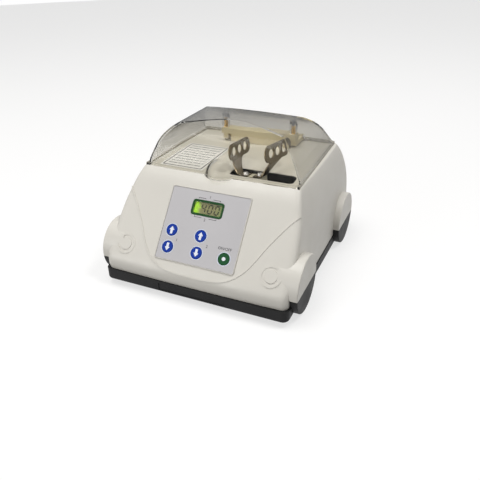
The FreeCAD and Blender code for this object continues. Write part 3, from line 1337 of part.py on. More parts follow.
def fork_screws():
    found = []
    for side in (-1, 1):
        at = Vector(side * (FORK_FOOT_X0 + FORK_FOOT_X1) / 2, 0, ARM_HEAD_Z + FORK_SHEET + FIT_GAP)
        screw = pan_screw(at, Z_AXIS * -1, FORK_SCREW_R, 6, FORK_SCREW_HEAD_R, FORK_SCREW_HEAD)
        splay = Placement(Vector(0, 0, 0), Rotation(Z_AXIS, -side * FORK_SPLAY))
        found.append(placed(screw, ARM_PLACE.multiply(splay)))
    return solids_of(found)


def arm_springs():
    """A spring each side, on the rocking axis, that keeps the arm from turning with the hub."""
    start = PIVOT_BOSS_Y + SPRING_WIRE_R + 0.1
    length = SPRING_POST_Y - SPRING_POST_R - SPRING_WIRE_R - 0.1 - start
    helix = Part.makeHelix(length / SPRING_TURNS, length, SPRING_R)
    profile = Part.Wire(Part.makeCircle(SPRING_WIRE_R, Vector(SPRING_R, 0, 0), Y_AXIS))
    coil = Part.Wire(helix).makePipeShell([profile], True, True)
    found = []
    for side in (-1, 1):
        turn = Rotation(Z_AXIS, Y_AXIS * side)
        place = RING_PLACE.multiply(Placement(Vector(0, side * start, 0), turn))
        found.append(placed(coil, place))
    return solids_of(found)


# Power supply

def supply_board():
    z0 = BASE_FLOOR_Z + BASE_WALL + SUPPLY_STANDOFF
    board = box(SUPPLY_X0, SUPPLY_X1, SUPPLY_Y0, SUPPLY_Y1, z0, z0 + BOARD_THICKNESS)
    return board.cut([rod(SMALL_SCREW_R + FIT_GAP, 8, Vector(x, y, z0 - 3)) for x, y in supply_places()])


def supply_top():
    return BASE_FLOOR_Z + BASE_WALL + SUPPLY_STANDOFF + BOARD_THICKNESS


def supply_screws():
    found = []
    for x, y in supply_places():
        found.append(pan_screw(Vector(x, y, supply_top()), Z_AXIS * -1, SMALL_SCREW_R,
                               BOARD_THICKNESS + 6,
                               SMALL_SCREW_HEAD_R, SMALL_SCREW_HEAD))
    return solids_of(found)


def transformer():
    z0 = supply_top()
    x, y = TRANSFORMER_X, TRANSFORMER_Y
    core = box(x - TRANSFORMER_WIDTH / 2, x + TRANSFORMER_WIDTH / 2, y - TRANSFORMER_DEPTH / 4,
               y + TRANSFORMER_DEPTH / 4,
               z0, z0 + TRANSFORMER_HEIGHT)
    coil = box(x - COIL_WIDTH / 2, x + COIL_WIDTH / 2, y - COIL_DEPTH / 2, y + COIL_DEPTH / 2,
               z0 + 5, z0 + TRANSFORMER_HEIGHT - 5)
    edges = [e for e in coil.Edges if abs(e.tangentAt(e.FirstParameter).z) > 0.99]
    coil = coil.makeFillet(6.0, edges)
    return fuse(core, coil)


def smoothing_capacitors():
    found = []
    for i in (-1, 1):
        at = Vector(CAPACITOR_X, TRANSFORMER_Y + i * (CAPACITOR_R + 2), supply_top())
        can = rod(CAPACITOR_R, CAPACITOR_HEIGHT, at)
        top = [e for e in can.Edges if e.Closed and e.CenterOfMass.z > at.z + CAPACITOR_HEIGHT / 2]
        found.append(can.makeFillet(1.2, top))
    return solids_of(found)


# Rear connections

def mains_inlet():
    y = rear_wall_y()
    flange = box(INLET_X - INLET_FLANGE_WIDTH / 2, INLET_X + INLET_FLANGE_WIDTH / 2, y, y + INLET_FLANGE,
                 REAR_Z - INLET_FLANGE_HEIGHT / 2, REAR_Z + INLET_FLANGE_HEIGHT / 2)
    edges = [e for e in flange.Edges if abs(e.tangentAt(e.FirstParameter).y) > 0.99]
    flange = flange.makeFillet(4.0, edges)
    body = box(INLET_X - INLET_BODY_WIDTH / 2, INLET_X + INLET_BODY_WIDTH / 2, y - INLET_BODY_DEPTH,
               y + 0.5,
               REAR_Z - INLET_BODY_HEIGHT / 2, REAR_Z + INLET_BODY_HEIGHT / 2)
    w = INLET_SOCKET_WIDTH / 2
    h = INLET_SOCKET_HEIGHT / 2
    chamfer = 4.5
    back = y + INLET_FLANGE - INLET_SOCKET_DEPTH
    points = [(-w, -h), (w, -h), (w, h - chamfer), (w - chamfer, h), (-w + chamfer, h), (-w, h - chamfer)]
    poly = [Vector(INLET_X + a, back, REAR_Z + b) for a, b in points]
    socket = Part.Face(Part.makePolygon(poly + [poly[0]])).extrude(Vector(0, 40, 0))
    holes = [rod(SMALL_SCREW_R + FIT_GAP, 10, Vector(INLET_X + side * INLET_SCREW_X, y - 4, REAR_Z),
                 Y_AXIS) for side in (-1, 1)]
    return fuse(flange, body).cut([socket] + holes)


def inlet_pins():
    back = rear_wall_y() + INLET_FLANGE - INLET_SOCKET_DEPTH
    found = []
    for i, z in ((-1, -2.0), (0, 2.0), (1, -2.0)):
        x = INLET_X + i * PIN_PITCH
        found.append(box(x - PIN_THICKNESS / 2, x + PIN_THICKNESS / 2, back, back + PIN_LENGTH,
                         REAR_Z + z - PIN_WIDTH / 2, REAR_Z + z + PIN_WIDTH / 2))
    return solids_of(found)


def inlet_screws():
    found = []
    for side in (-1, 1):
        seat = Vector(INLET_X + side * INLET_SCREW_X, rear_wall_y() + INLET_FLANGE, REAR_Z)
        found.append(pan_screw(seat, Y_AXIS * -1, SMALL_SCREW_R, SMALL_SCREW_LENGTH, SMALL_SCREW_HEAD_R,
                               SMALL_SCREW_HEAD))
    return solids_of(found)


def rocker_pivot():
    return Vector(SWITCH_X, rear_wall_y() + FRAME_FLANGE - ROCKER_PIVOT_DEPTH, REAR_Z)


def switch_frame():
    y = rear_wall_y()
    flange = box(SWITCH_X - FRAME_WIDTH / 2, SWITCH_X + FRAME_WIDTH / 2, y, y + FRAME_FLANGE,
                 REAR_Z - FRAME_HEIGHT / 2, REAR_Z + FRAME_HEIGHT / 2)
    body = box(SWITCH_X - FRAME_BODY_WIDTH / 2, SWITCH_X + FRAME_BODY_WIDTH / 2, y - FRAME_BODY_DEPTH,
               y + 0.5,
               REAR_Z - FRAME_BODY_HEIGHT / 2, REAR_Z + FRAME_BODY_HEIGHT / 2)
    hollow = box(SWITCH_X - ROCKER_WIDTH / 2 - 0.3, SWITCH_X + ROCKER_WIDTH / 2 + 0.3, y - 7, y + 5,
                 REAR_Z - ROCKER_HALF_HEIGHT - 0.9, REAR_Z + ROCKER_HALF_HEIGHT + 0.9)
    pin = rod(ROCKER_PIN_R, ROCKER_WIDTH + 1.2, rocker_pivot() - Vector(ROCKER_WIDTH / 2 + 0.6, 0, 0),
              X_AXIS)
    return fuse(fuse(flange, body).cut(hollow), pin)


def switch_rocker():
    h = ROCKER_HALF_HEIGHT
    crest = ROCKER_CREST
    rise = h * tan(radians(ROCKER_TILT))
    points = [(-h, crest + rise), (0, crest), (h, crest + rise), (h, -0.5), (3.0, -3.0), (-3.0, -3.0),
              (-h, -0.5)]
    poly = [Vector(-ROCKER_WIDTH / 2, w, v) for v, w in points]
    solid = Part.Face(Part.makePolygon(poly + [poly[0]])).extrude(Vector(ROCKER_WIDTH, 0, 0))
    solid = solid.cut(rod(ROCKER_PIN_R + FIT_GAP, 2 * ROCKER_WIDTH, Vector(-ROCKER_WIDTH, 0, 0), X_AXIS))
    turn = Placement(rocker_pivot(), Rotation(X_AXIS, -ROCKER_TILT))
    return placed(solid, turn)


PARTS = {
    "upper_housing": upper_housing,
    "base_tray": base_tray,
    "rubber_feet": rubber_feet,
    "base_screws": base_screws,
    "control_overlay": control_overlay,
    "display_bezel": display_bezel,
    "display_lens": display_lens,
    "display_module": display_module,
    "control_board": control_board,
    "control_board_screws": control_board_screws,
    "key_switches": key_switches,
    "deck_label": deck_label,
    "hinge_bracket": hinge_bracket,
    "hinge_bracket_screws": pedestal_screws,
    "hinge_pins": hinge_pins,
    "lid_shell": lid_shell,
    "hinge_yoke": hinge_yoke,
    "lid_inserts": lid_inserts,
    "lid_screws": lid_screws,
    "motor_can": motor_can,
    "motor_end_bells": motor_end_bells,
    "field_magnets": field_magnets,
    "motor_bracket": motor_bracket,
    "motor_screws": motor_screws,
    "motor_saddle": motor_saddle,
    "isolators": isolators,
    "isolator_screws": isolator_screws,
    "motor_shaft": motor_shaft,
    "armature": armature,
    "commutator": commutator,
    "oblique_hub": oblique_hub,
    "hub_set_screw": hub_set_screw,
    "hub_retainer": hub_retainer,
    "bearing_inner_ring": bearing_inner_ring,
    "bearing_balls": bearing_balls,
    "bearing_outer_ring": bearing_outer_ring,
    "vibration_arm": vibration_arm,
    "fork_left": lambda: fork_leaf(-1),
    "fork_right": lambda: fork_leaf(1),
    "fork_screws": fork_screws,
    "arm_springs": arm_springs,
    "supply_board": supply_board,
    "supply_screws": supply_screws,
    "transformer": transformer,
    "smoothing_capacitors": smoothing_capacitors,
    "mains_inlet": mains_inlet,
    "inlet_pins": inlet_pins,
    "inlet_screws": inlet_screws,
    "switch_frame": switch_frame,
    "switch_rocker": switch_rocker,
}

for name, make in PARTS.items():
    save(name, make())
for name, across, up in KEYS:
    save(name, key(across, up))
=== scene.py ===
"""Looks of the bench vibration mill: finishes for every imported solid, the printed marks on the
keys, panel, display and label, and the photograph's camera, floor and studio light.
Metres; +X right, +Y to the rear, +Z up."""

import json
from math import cos, pi, radians, sin, tan

import bmesh
import bpy
from mathutils import Matrix, Vector


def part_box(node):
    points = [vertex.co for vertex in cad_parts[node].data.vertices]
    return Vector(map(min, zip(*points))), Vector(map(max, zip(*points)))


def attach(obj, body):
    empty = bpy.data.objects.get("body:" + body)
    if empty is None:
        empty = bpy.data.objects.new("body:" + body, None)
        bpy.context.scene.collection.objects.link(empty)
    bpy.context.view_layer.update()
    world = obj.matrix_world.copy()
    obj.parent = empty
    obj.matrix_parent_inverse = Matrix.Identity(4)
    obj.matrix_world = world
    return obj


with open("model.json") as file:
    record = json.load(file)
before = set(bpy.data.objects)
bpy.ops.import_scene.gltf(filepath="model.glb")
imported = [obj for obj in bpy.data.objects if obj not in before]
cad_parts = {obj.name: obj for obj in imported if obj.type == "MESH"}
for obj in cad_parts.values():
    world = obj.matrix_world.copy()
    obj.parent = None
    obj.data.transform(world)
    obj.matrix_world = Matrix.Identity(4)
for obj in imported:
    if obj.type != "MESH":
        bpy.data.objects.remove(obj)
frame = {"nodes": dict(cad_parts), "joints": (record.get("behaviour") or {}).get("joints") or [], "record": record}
nodes = frame["nodes"]
joints = {joint["name"]: joint for joint in frame["joints"]}
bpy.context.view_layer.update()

MM = 0.001

# Control panel frame: across, up the slope and out of it, from the keys' slides
PANEL_OUT = -Vector(joints["key_timer_up_press"]["axis"]).normalized()
PANEL_ACROSS = Vector((1, 0, 0))
PANEL_UP = PANEL_OUT.cross(PANEL_ACROSS)
PANEL_ORIGIN = Vector((0, -83.8, 70.35)) * MM
PANEL_HALF_WIDTH = 42.5
PANEL_HALF_LENGTH = 37.2

# Keys
KEY_TOP = 0.5
PRINT_THICKNESS = 0.05
ARROW_HALF_HEIGHT = 3.9
ARROW_HEAD_HALF_WIDTH = 2.75
ARROW_HEAD_HEIGHT = 3.7
ARROW_SHAFT_HALF_WIDTH = 1.3
START_DOT_R = 1.9
KEY_RING_INNER_R = 6.25
KEY_RING_OUTER_R = 6.95

# Display
DISPLAY_UP = 19.9
DIGIT_OUT = -1.64
DIGIT_THICKNESS = 0.03
DIGIT_HEIGHT = 8.4
DIGIT_WIDTH = 4.0
DIGIT_STROKE = 1.35
DIGIT_GAP = 0.22
DIGIT_SLANT = 0.09
DIGIT_PITCH = 7.3
FIRST_DIGIT_X = -4.8

# Fork slot's black sheet of painted shade
SLOT_X = 40.0
SLOT_Y = -23.8
SLOT_HALF_LENGTH = 33.95
SLOT_HALF_WIDTH = 9.95
SLOT_CORNER_R = 3.95
SHADE_SHEET_THICKNESS = 0.4
SHADE_SHEET_LOW = 99.3
SHADE_SHEET_HIGH = 108.2

# Fine edge round the overlay: its section as distances outside the overlay's edge and heights
PANEL_CORNER_R = 1.5
PANEL_RIM_SECTION = ((0.12, -0.5), (0.12, 0.46), (0.3, 0.52), (0.6, 0.42), (1.0, 0.02), (1.1, -0.5))

# Lettering beside the keys
KEY_WORD_PLACES = ((-23.8, -16.6), (9.6, -16.6))
START_WORD_PLACE = (28.6, -15.2)
DISPLAY_TICK = 9.6
DISPLAY_WORD = 11.6
WORD_HEIGHT = 2.8
FONT_SIZE_PER_CAP = 1.42
TICK_REACH = 12.0
TICK_INNER = 4.0
TICK_WIDTH = 0.4
TICK_HOOK = 0.9

# Deck label
LABEL_RULE_COUNT = 9
LABEL_RULE_WIDTH = 1.1
LABEL_DASHES = (7.0, 3.5, 10.0, 5.0, 2.5, 8.0)
LABEL_DASH_GAP = 1.2
LABEL_DASH_MIN = 2
LABEL_BORDER_INSET = 2.0
LABEL_BORDER_OUTER_R = 1.5
LABEL_BORDER_INNER_R = 1.2
LABEL_ROWS_INSET = 9.0
LABEL_SIDES_INSET = 6.0

# Camera, found from the photograph's vanishing lines
CAMERA_AZIMUTH = radians(24.49)
CAMERA_ELEVATION = radians(30.14)
CAMERA_ROLL = radians(-1.01)
CAMERA_PLACE = Vector((0.21901, -0.4762, 0.31652))
CAMERA_LENS = 39.25
CAMERA_SENSOR = 36

# Studio: name, place, target, size in metres, watts and tint of each round lamp
LAMPS = (
    ("key_light", (-0.35, -0.15, 1.55), (0, -0.02, 0.06), 0.9, 11.0, (1.0, 0.99, 0.97)),
    ("right_top", (0.7, 0.15, 1.5), (0, 0, 0.06), 0.4, 8.5, (1.0, 0.99, 0.975)),
    ("front_fill", (-0.75, -1.45, 0.42), (0, -0.05, 0.06), 0.8, 8.5, (1.0, 0.995, 0.985)),
    ("glint_light", (1.1, -0.75, 1.0), (0, 0, 0.1), 0.1, 1.0, (1, 1, 1)),
)
AMBIENT_TINT = (1.0, 0.99, 0.975, 1)
AMBIENT_STRENGTH = 0.23
FLOOR_GREY = 0.36
FLOOR_LIFT = 0.66
FLOOR_RINGS = (0.6, 1.5, 3.0)
FLOOR_SIDES = 64


# Camera and studio

def add_camera():
    az, el, roll = CAMERA_AZIMUTH, CAMERA_ELEVATION, CAMERA_ROLL
    back = Vector((sin(az) * cos(el), -cos(az) * cos(el), sin(el)))
    level = Vector((cos(az), sin(az), 0))
    upright = back.cross(level)
    right = cos(roll) * level + sin(roll) * upright
    up = cos(roll) * upright - sin(roll) * level
    data = bpy.data.cameras.new("photo_camera")
    data.lens = CAMERA_LENS
    data.sensor_width = CAMERA_SENSOR
    data.clip_start = 0.01
    data.clip_end = 50
    camera = bpy.data.objects.new("photo_camera", data)
    turn = Matrix((right, up, back)).transposed().to_4x4()
    camera.matrix_world = Matrix.Translation(CAMERA_PLACE) @ turn
    bpy.context.collection.objects.link(camera)
    bpy.context.scene.camera = camera


def add_lamp(name, place, target, size, power, tint):
    data = bpy.data.lights.new(name, "AREA")
    data.shape = "DISK"
    data.size = size
    data.energy = power
    data.color = tint
    lamp = bpy.data.objects.new(name, data)
    lamp.location = place
    lamp.rotation_euler = (Vector(target) - Vector(place)).to_track_quat("-Z", "Y").to_euler()
    bpy.context.collection.objects.link(lamp)


def seen_directly(tree):
    """One for rays that show the background itself: from the camera, in a mirror or through glass."""
    path = tree.nodes.new("ShaderNodeLightPath")
    first = tree.nodes.new("ShaderNodeMath")
    first.operation = "MAXIMUM"
    tree.links.new(path.outputs["Is Camera Ray"], first.inputs[0])
    tree.links.new(path.outputs["Is Glossy Ray"], first.inputs[1])
    second = tree.nodes.new("ShaderNodeMath")
    second.operation = "MAXIMUM"
    tree.links.new(first.outputs[0], second.inputs[0])
    tree.links.new(path.outputs["Is Transmission Ray"], second.inputs[1])
    return second.outputs[0]


def add_world():
    world = bpy.data.worlds.new("studio")
    bpy.context.scene.world = world
    world.use_nodes = True
    tree = world.node_tree
    ambient = tree.nodes["Background"]
    ambient.inputs["Color"].default_value = AMBIENT_TINT
    ambient.inputs["Strength"].default_value = AMBIENT_STRENGTH
    white = tree.nodes.new("ShaderNodeBackground")
    white.inputs["Color"].default_value = (1, 1, 1, 1)
    white.inputs["Strength"].default_value = 1
    mix = tree.nodes.new("ShaderNodeMixShader")
    tree.links.new(seen_directly(tree), mix.inputs[0])
    tree.links.new(ambient.outputs[0], mix.inputs[1])
    tree.links.new(white.outputs[0], mix.inputs[2])
    tree.links.new(mix.outputs[0], tree.nodes["World Output"].inputs["Surface"])


def add_floor():
    """A white sheet whose own brightness is lifted to white, so only the object's shadow shows."""
    mesh = bmesh.new()
    rings = []
    for radius in FLOOR_RINGS:
        rings.append([mesh.verts.new((x, y, 0)) for x, y in circle(0, 0, radius, FLOOR_SIDES)])
    mesh.faces.new(rings[0])
    for inner, outer in zip(rings, rings[1:]):
        for k in range(FLOOR_SIDES):
            after = (k + 1) % FLOOR_SIDES
            mesh.faces.new((inner[k], outer[k], outer[after], inner[after]))
    floor = object_from("floor", mesh, floor_material())


def floor_material():
    material = bpy.data.materials.new("floor_white")
    material.use_nodes = True
    tree = material.node_tree
    shader = tree.nodes["Principled BSDF"]
    shader.inputs["Base Color"].default_value = (FLOOR_GREY, FLOOR_GREY, FLOOR_GREY, 1)
    shader.inputs["Roughness"].default_value = 0.9
    shader.inputs["Specular IOR Level"].default_value = 0.1
    glow = tree.nodes.new("ShaderNodeEmission")
    lift = tree.nodes.new("ShaderNodeMath")
    lift.operation = "MULTIPLY"
    tree.links.new(seen_directly(tree), lift.inputs[0])
    lift.inputs[1].default_value = FLOOR_LIFT
    tree.links.new(lift.outputs[0], glow.inputs["Strength"])
    both = tree.nodes.new("ShaderNodeAddShader")
    tree.links.new(shader.outputs[0], both.inputs[0])
    tree.links.new(glow.outputs[0], both.inputs[1])
    tree.links.new(both.outputs[0], tree.nodes["Material Output"].inputs["Surface"])
    return material


# Node helpers

def shader_of(name):
    material = bpy.data.materials.new(name)
    material.use_nodes = True
    tree = material.node_tree
    return material, tree, tree.nodes["Principled BSDF"]


def object_place(tree, stretch=(1, 1, 1)):
    """Object coordinates, which are the part's own metres, stretched for drawn or brushed marks."""
    place = tree.nodes.new("ShaderNodeTexCoord")
    if stretch == (1, 1, 1):
        return place.outputs["Object"]
    mapping = tree.nodes.new("ShaderNodeMapping")
    mapping.inputs["Scale"].default_value = stretch
    tree.links.new(place.outputs["Object"], mapping.inputs["Vector"])
    return mapping.outputs["Vector"]


def noise(tree, scale, detail=2.0, stretch=(1, 1, 1)):
    texture = tree.nodes.new("ShaderNodeTexNoise")
    texture.inputs["Scale"].default_value = scale
    texture.inputs["Detail"].default_value = detail
    tree.links.new(object_place(tree, stretch), texture.inputs["Vector"])
    return texture.outputs["Fac"]


def spread(tree, source, low, high, start=0.3, end=0.7):
    """A grey value mapped from the middle of a noise to a range."""
    node = tree.nodes.new("ShaderNodeMapRange")
    node.inputs["From Min"].default_value = start
    node.inputs["From Max"].default_value = end
    node.inputs["To Min"].default_value = low
    node.inputs["To Max"].default_value = high
    tree.links.new(source, node.inputs["Value"])
    return node.outputs["Result"]


def mixed(tree, factor, first, second):
    node = tree.nodes.new("ShaderNodeMix")
    node.data_type = "RGBA"
    tree.links.new(factor, node.inputs[0])
    for socket, value in ((node.inputs[6], first), (node.inputs[7], second)):
        if isinstance(value, tuple):
            socket.default_value = (*value, 1)
        else:
            tree.links.new(value, socket)
    return node.outputs[2]


def bump(tree, height, strength, distance):
    node = tree.nodes.new("ShaderNodeBump")
    node.inputs["Strength"].default_value = strength
    node.inputs["Distance"].default_value = distance
    tree.links.new(height, node.inputs["Height"])
    return node.outputs["Normal"]


def shade(colour, factor):
    return tuple(min(1.0, c * factor) for c in colour)


def plastic(name, colour, rough=0.4, grain=900, depth=0.00004, patch=0.025, rough_spread=0.06, gloss=0.5):
    """Moulded plastic: faint cloudy colour, spark-eroded grain and uneven gloss."""
    material, tree, shader = shader_of(name)
    cloud = spread(tree, noise(tree, 22, 3), 0, 1)
    tree.links.new(mixed(tree, cloud, shade(colour, 1 - patch), shade(colour, 1 + patch)),
                   shader.inputs["Base Color"])
    tree.links.new(spread(tree, noise(tree, 70, 3), rough - rough_spread, rough + rough_spread),
                   shader.inputs["Roughness"])
    tree.links.new(bump(tree, noise(tree, grain, 3), 0.5, depth), shader.inputs["Normal"])
    shader.inputs["Specular IOR Level"].default_value = gloss
    return material


def metal(name, colour, rough=0.3, stretch=(1, 1, 1), grain=500, depth=0.00003, patch=0.08):
    """Bare metal with drawn or ground marks along one direction and uneven polish."""
    material, tree, shader = shader_of(name)
    marks = noise(tree, grain, 4, stretch)
    cloud = spread(tree, noise(tree, 60, 4), 0, 1)
    tree.links.new(mixed(tree, cloud, shade(colour, 1 - patch), shade(colour, 1 + patch)),
                   shader.inputs["Base Color"])
    tree.links.new(spread(tree, marks, rough - 0.08, rough + 0.1), shader.inputs["Roughness"])
    tree.links.new(bump(tree, marks, 0.35, depth), shader.inputs["Normal"])
    shader.inputs["Metallic"].default_value = 1
    return material


def printed(name, colour, rough=0.6):
    """Screen-printed ink: even colour with a slight mottle and a dry surface."""
    material, tree, shader = shader_of(name)
    mottle = spread(tree, noise(tree, 400, 2), 0, 1)
    tree.links.new(mixed(tree, mottle, shade(colour, 0.94), shade(colour, 1.04)),
                   shader.inputs["Base Color"])
    tree.links.new(spread(tree, noise(tree, 300, 2), rough - 0.05, rough + 0.05),
                   shader.inputs["Roughness"])
    tree.links.new(bump(tree, noise(tree, 2500, 2), 0.3, 0.00001), shader.inputs["Normal"])
    shader.inputs["Specular IOR Level"].default_value = 0.1
    return material


def clear(name, tint, rough, ior=1.49, passed=None, mark_scale=60, edge=None):
    """Clear moulded plastic. Lamp and bounce rays go straight through, so what it covers stays lit.
    A smoked one darkens towards its edge tint where it is seen at a slant, through more of it,
    and carries a painted shade, nearly black, along its outline."""
    material, tree, shader = shader_of(name)
    cloud = spread(tree, noise(tree, 9, 2), 0, 1)
    colour = mixed(tree, cloud, shade(tint, 0.97), shade(tint, 1.02))
    if edge:
        slant = tree.nodes.new("ShaderNodeLayerWeight")
        smoke = spread(tree, slant.outputs["Facing"], 0, 0.75, 0.2, 0.85)
        colour = mixed(tree, smoke, colour, edge)
        # Painted shade: nearly black along the outline where the shell is seen edge-on, standing in for the dark
        # line its edges show
        outline_shade = spread(tree, slant.outputs["Facing"], 0, 1, 0.63, 0.88)
        colour = mixed(tree, outline_shade, colour, shade(edge, 0.05))
    tree.links.new(colour, shader.inputs["Base Color"])
    shader.inputs["Transmission Weight"].default_value = 1
    shader.inputs["IOR"].default_value = ior
    tree.links.new(spread(tree, noise(tree, mark_scale, 4), rough * 0.5, rough * 1.6),
                   shader.inputs["Roughness"])
    tree.links.new(bump(tree, noise(tree, 35, 2), 0.12, 0.0002), shader.inputs["Normal"])
    through = tree.nodes.new("ShaderNodeBsdfTransparent")
    through.inputs["Color"].default_value = (*(passed or tint), 1)
    path = tree.nodes.new("ShaderNodeLightPath")
    either = tree.nodes.new("ShaderNodeMath")
    either.operation = "MAXIMUM"
    tree.links.new(path.outputs["Is Shadow Ray"], either.inputs[0])
    tree.links.new(path.outputs["Is Diffuse Ray"], either.inputs[1])
    mix = tree.nodes.new("ShaderNodeMixShader")
    tree.links.new(either.outputs[0], mix.inputs[0])
    tree.links.new(shader.outputs[0], mix.inputs[1])
    tree.links.new(through.outputs[0], mix.inputs[2])
    tree.links.new(mix.outputs[0], tree.nodes["Material Output"].inputs["Surface"])
    return material


def backlight(name):
    """The display's glass: lit yellow-green from its left edge, and olive further in."""
    material, tree, shader = shader_of(name)
    split = tree.nodes.new("ShaderNodeSeparateXYZ")
    tree.links.new(object_place(tree), split.inputs[0])
    wave = tree.nodes.new("ShaderNodeMath")
    wave.operation = "MULTIPLY_ADD"
    tree.links.new(spread(tree, noise(tree, 220, 2), -0.5, 0.5), wave.inputs[0])
    wave.inputs[1].default_value = 0.003
    tree.links.new(split.outputs["X"], wave.inputs[2])
    across = spread(tree, wave.outputs[0], 0, 1, -0.0125, -0.0075)
    right = spread(tree, wave.outputs[0], 0, 1, 0.009, 0.016)
    middle = mixed(tree, across, (0.40, 0.76, 0.010), (0.20, 0.19, 0.075))
    colour = mixed(tree, right, middle, (0.17, 0.24, 0.06))
    tree.links.new(colour, shader.inputs["Base Color"])
    tree.links.new(colour, shader.inputs["Emission Color"])
    shader.inputs["Emission Strength"].default_value = 0.15
    tree.links.new(spread(tree, noise(tree, 300, 2), 0.25, 0.4), shader.inputs["Roughness"])
    tree.links.new(bump(tree, noise(tree, 1500, 2), 0.2, 0.00002), shader.inputs["Normal"])
    return material


def laminated(name, colour, pitch_axis):
    """A stack of thin sheets, seen as fine lines across one axis."""
    material, tree, shader = shader_of(name)
    wave = tree.nodes.new("ShaderNodeTexWave")
    wave.bands_direction = pitch_axis
    wave.inputs["Scale"].default_value = 320
    wave.inputs["Distortion"].default_value = 0.4
    tree.links.new(object_place(tree), wave.inputs["Vector"])
    tree.links.new(mixed(tree, wave.outputs["Fac"], shade(colour, 0.7), shade(colour, 1.1)),
                   shader.inputs["Base Color"])
    tree.links.new(spread(tree, noise(tree, 200, 3), 0.35, 0.55), shader.inputs["Roughness"])
    tree.links.new(bump(tree, wave.outputs["Fac"], 0.5, 0.0001), shader.inputs["Normal"])
    shader.inputs["Metallic"].default_value = 0.8
    return material


# Finishes, by the record's material slots

FINISHES = {
    "white_housing": plastic("housing_white", (0.655, 0.635, 0.585), 0.42, 1100, 0.00003, 0.015),
    "dark_base": plastic("base_dark", (0.014, 0.014, 0.0145), 0.55, 1400, 0.00006, 0.12, gloss=0.2),
    "foot_rubber": plastic("rubber_black", (0.02, 0.02, 0.021), 0.8, 1800, 0.00008, 0.15),
    "screw_steel": metal("zinc_steel", (0.58, 0.58, 0.60), 0.32, (1, 1, 1), 900),
    "overlay_grey": plastic("overlay_film", (0.50, 0.49, 0.505), 0.5, 2600, 0.00002, 0.02),
    "display_green": plastic("bezel_green", (0.006, 0.055, 0.010), 0.35, 1500, 0.00001, 0.1, gloss=0.25),
    "lens_clear": clear("display_window", (0.97, 0.98, 0.95), 0.01, 1.3),
    "display_backlight": backlight("display_glass"),
    "board_green": plastic("board_mask", (0.015, 0.14, 0.05), 0.35, 700, 0.00005, 0.2),
    "switch_black": plastic("switch_black", (0.02, 0.02, 0.02), 0.45, 1200),
    "label_white": printed("label_film", (0.86, 0.86, 0.87), 0.5),
    "cream_plastic": plastic("hinge_cream", (0.68, 0.60, 0.40), 0.4, 900, 0.00006, 0.07),
    "smoked_clear": clear("lid_smoked", (0.88, 0.865, 0.82), 0.02, 1.17, (0.93, 0.925, 0.90), 60,
                          (0.09, 0.087, 0.076)),
    "brass_insert": metal("brass", (0.72, 0.48, 0.16), 0.28, (1, 1, 1), 900),
    "motor_steel": metal("drawn_steel", (0.52, 0.52, 0.53), 0.3, (1, 30, 30)),
    "motor_alloy": metal("cast_alloy", (0.60, 0.60, 0.61), 0.45, (1, 1, 1), 1500, 0.00008),
    "magnet_ferrite": plastic("ferrite", (0.06, 0.06, 0.065), 0.6, 800, 0.00008, 0.15),
    "plated_steel": metal("plated_sheet", (0.62, 0.61, 0.57), 0.35, (1, 20, 1)),
    "bearing_steel": metal("ground_steel", (0.62, 0.62, 0.63), 0.2, (30, 1, 1)),
    "armature_steel": laminated("armature_stack", (0.35, 0.33, 0.32), "X"),
    "copper_bar": metal("copper", (0.80, 0.42, 0.24), 0.3, (1, 20, 20)),
    "cream_arm": plastic("arm_paint", (0.60, 0.57, 0.46), 0.4, 600, 0.00008, 0.06),
    "spring_bronze": metal("fork_strip", (0.15, 0.125, 0.085), 0.34, (1, 1, 14), 700, 0.00005, 0.2),
    "spring_wire": metal("spring_wire", (0.55, 0.55, 0.56), 0.25, (1, 1, 1), 1200),
    "transformer_core": laminated("core_stack", (0.10, 0.10, 0.11), "X"),
    "capacitor_sleeve": plastic("sleeve_blue", (0.03, 0.05, 0.17), 0.3, 700, 0.00003, 0.1),
    "black_plastic": plastic("socket_black", (0.022, 0.022, 0.023), 0.45, 1300, 0.00006, 0.12),
    "rocker_black": plastic("rocker_black", (0.016, 0.016, 0.017), 0.25, 1500, 0.00002, 0.1),
    "key_blue": plastic("key_blue", (0.003, 0.036, 0.31), 0.4, 1600, 0.00002, 0.06, gloss=0.2),
    "key_green": plastic("key_green", (0.005, 0.07, 0.02), 0.4, 1600, 0.00002, 0.08, gloss=0.2),
}
CAP_GREY = plastic("cap_grey", (0.22, 0.225, 0.28), 0.35, 1200, 0.00003, 0.1)
INK_WHITE = printed("ink_white", (0.83, 0.86, 0.93))
INK_RING = printed("ink_ring", (0.68, 0.74, 0.86))
INK_DARK = printed("ink_dark", (0.02, 0.02, 0.022))
INK_GREY = printed("ink_grey", (0.05, 0.05, 0.055))
DIGIT_INK = printed("digit_ink", (0.012, 0.011, 0.003), 0.5)


def dress_nodes():
    slots = {part["node"]: part["material_slot"] for part in frame["record"]["subparts"]}
    for name, thing in nodes.items():
        finish = CAP_GREY if name == "lid_screws" else FINISHES[slots[name]]
        for held in thing.material_slots:
            held.material = finish
        if not thing.material_slots:
            thing.data.materials.append(finish)


# Mesh helpers

def object_from(name, mesh, material, smooth=False):
    bmesh.ops.recalc_face_normals(mesh, faces=mesh.faces)
    data = bpy.data.meshes.new(name)
    mesh.to_mesh(data)
    mesh.free()
    if smooth:
        data.polygons.foreach_set("use_smooth", [True] * len(data.polygons))
    data.materials.append(material)
    thing = bpy.data.objects.new(name, data)
    bpy.context.collection.objects.link(thing)
    return thing


def on_panel(x, up, out):
    return PANEL_ORIGIN + (PANEL_ACROSS * x + PANEL_UP * up + PANEL_OUT * out) * MM


def prism(mesh, outline, place, low, high):
    """A closed outline raised from one height to another, in a frame given by place."""
    bottom = [mesh.verts.new(place(x, y, low)) for x, y in outline]
    top = [mesh.verts.new(place(x, y, high)) for x, y in outline]
    mesh.faces.new(top)
    mesh.faces.new(list(reversed(bottom)))
    for k in range(len(outline)):
        after = (k + 1) % len(outline)
        mesh.faces.new((bottom[k], bottom[after], top[after], top[k]))


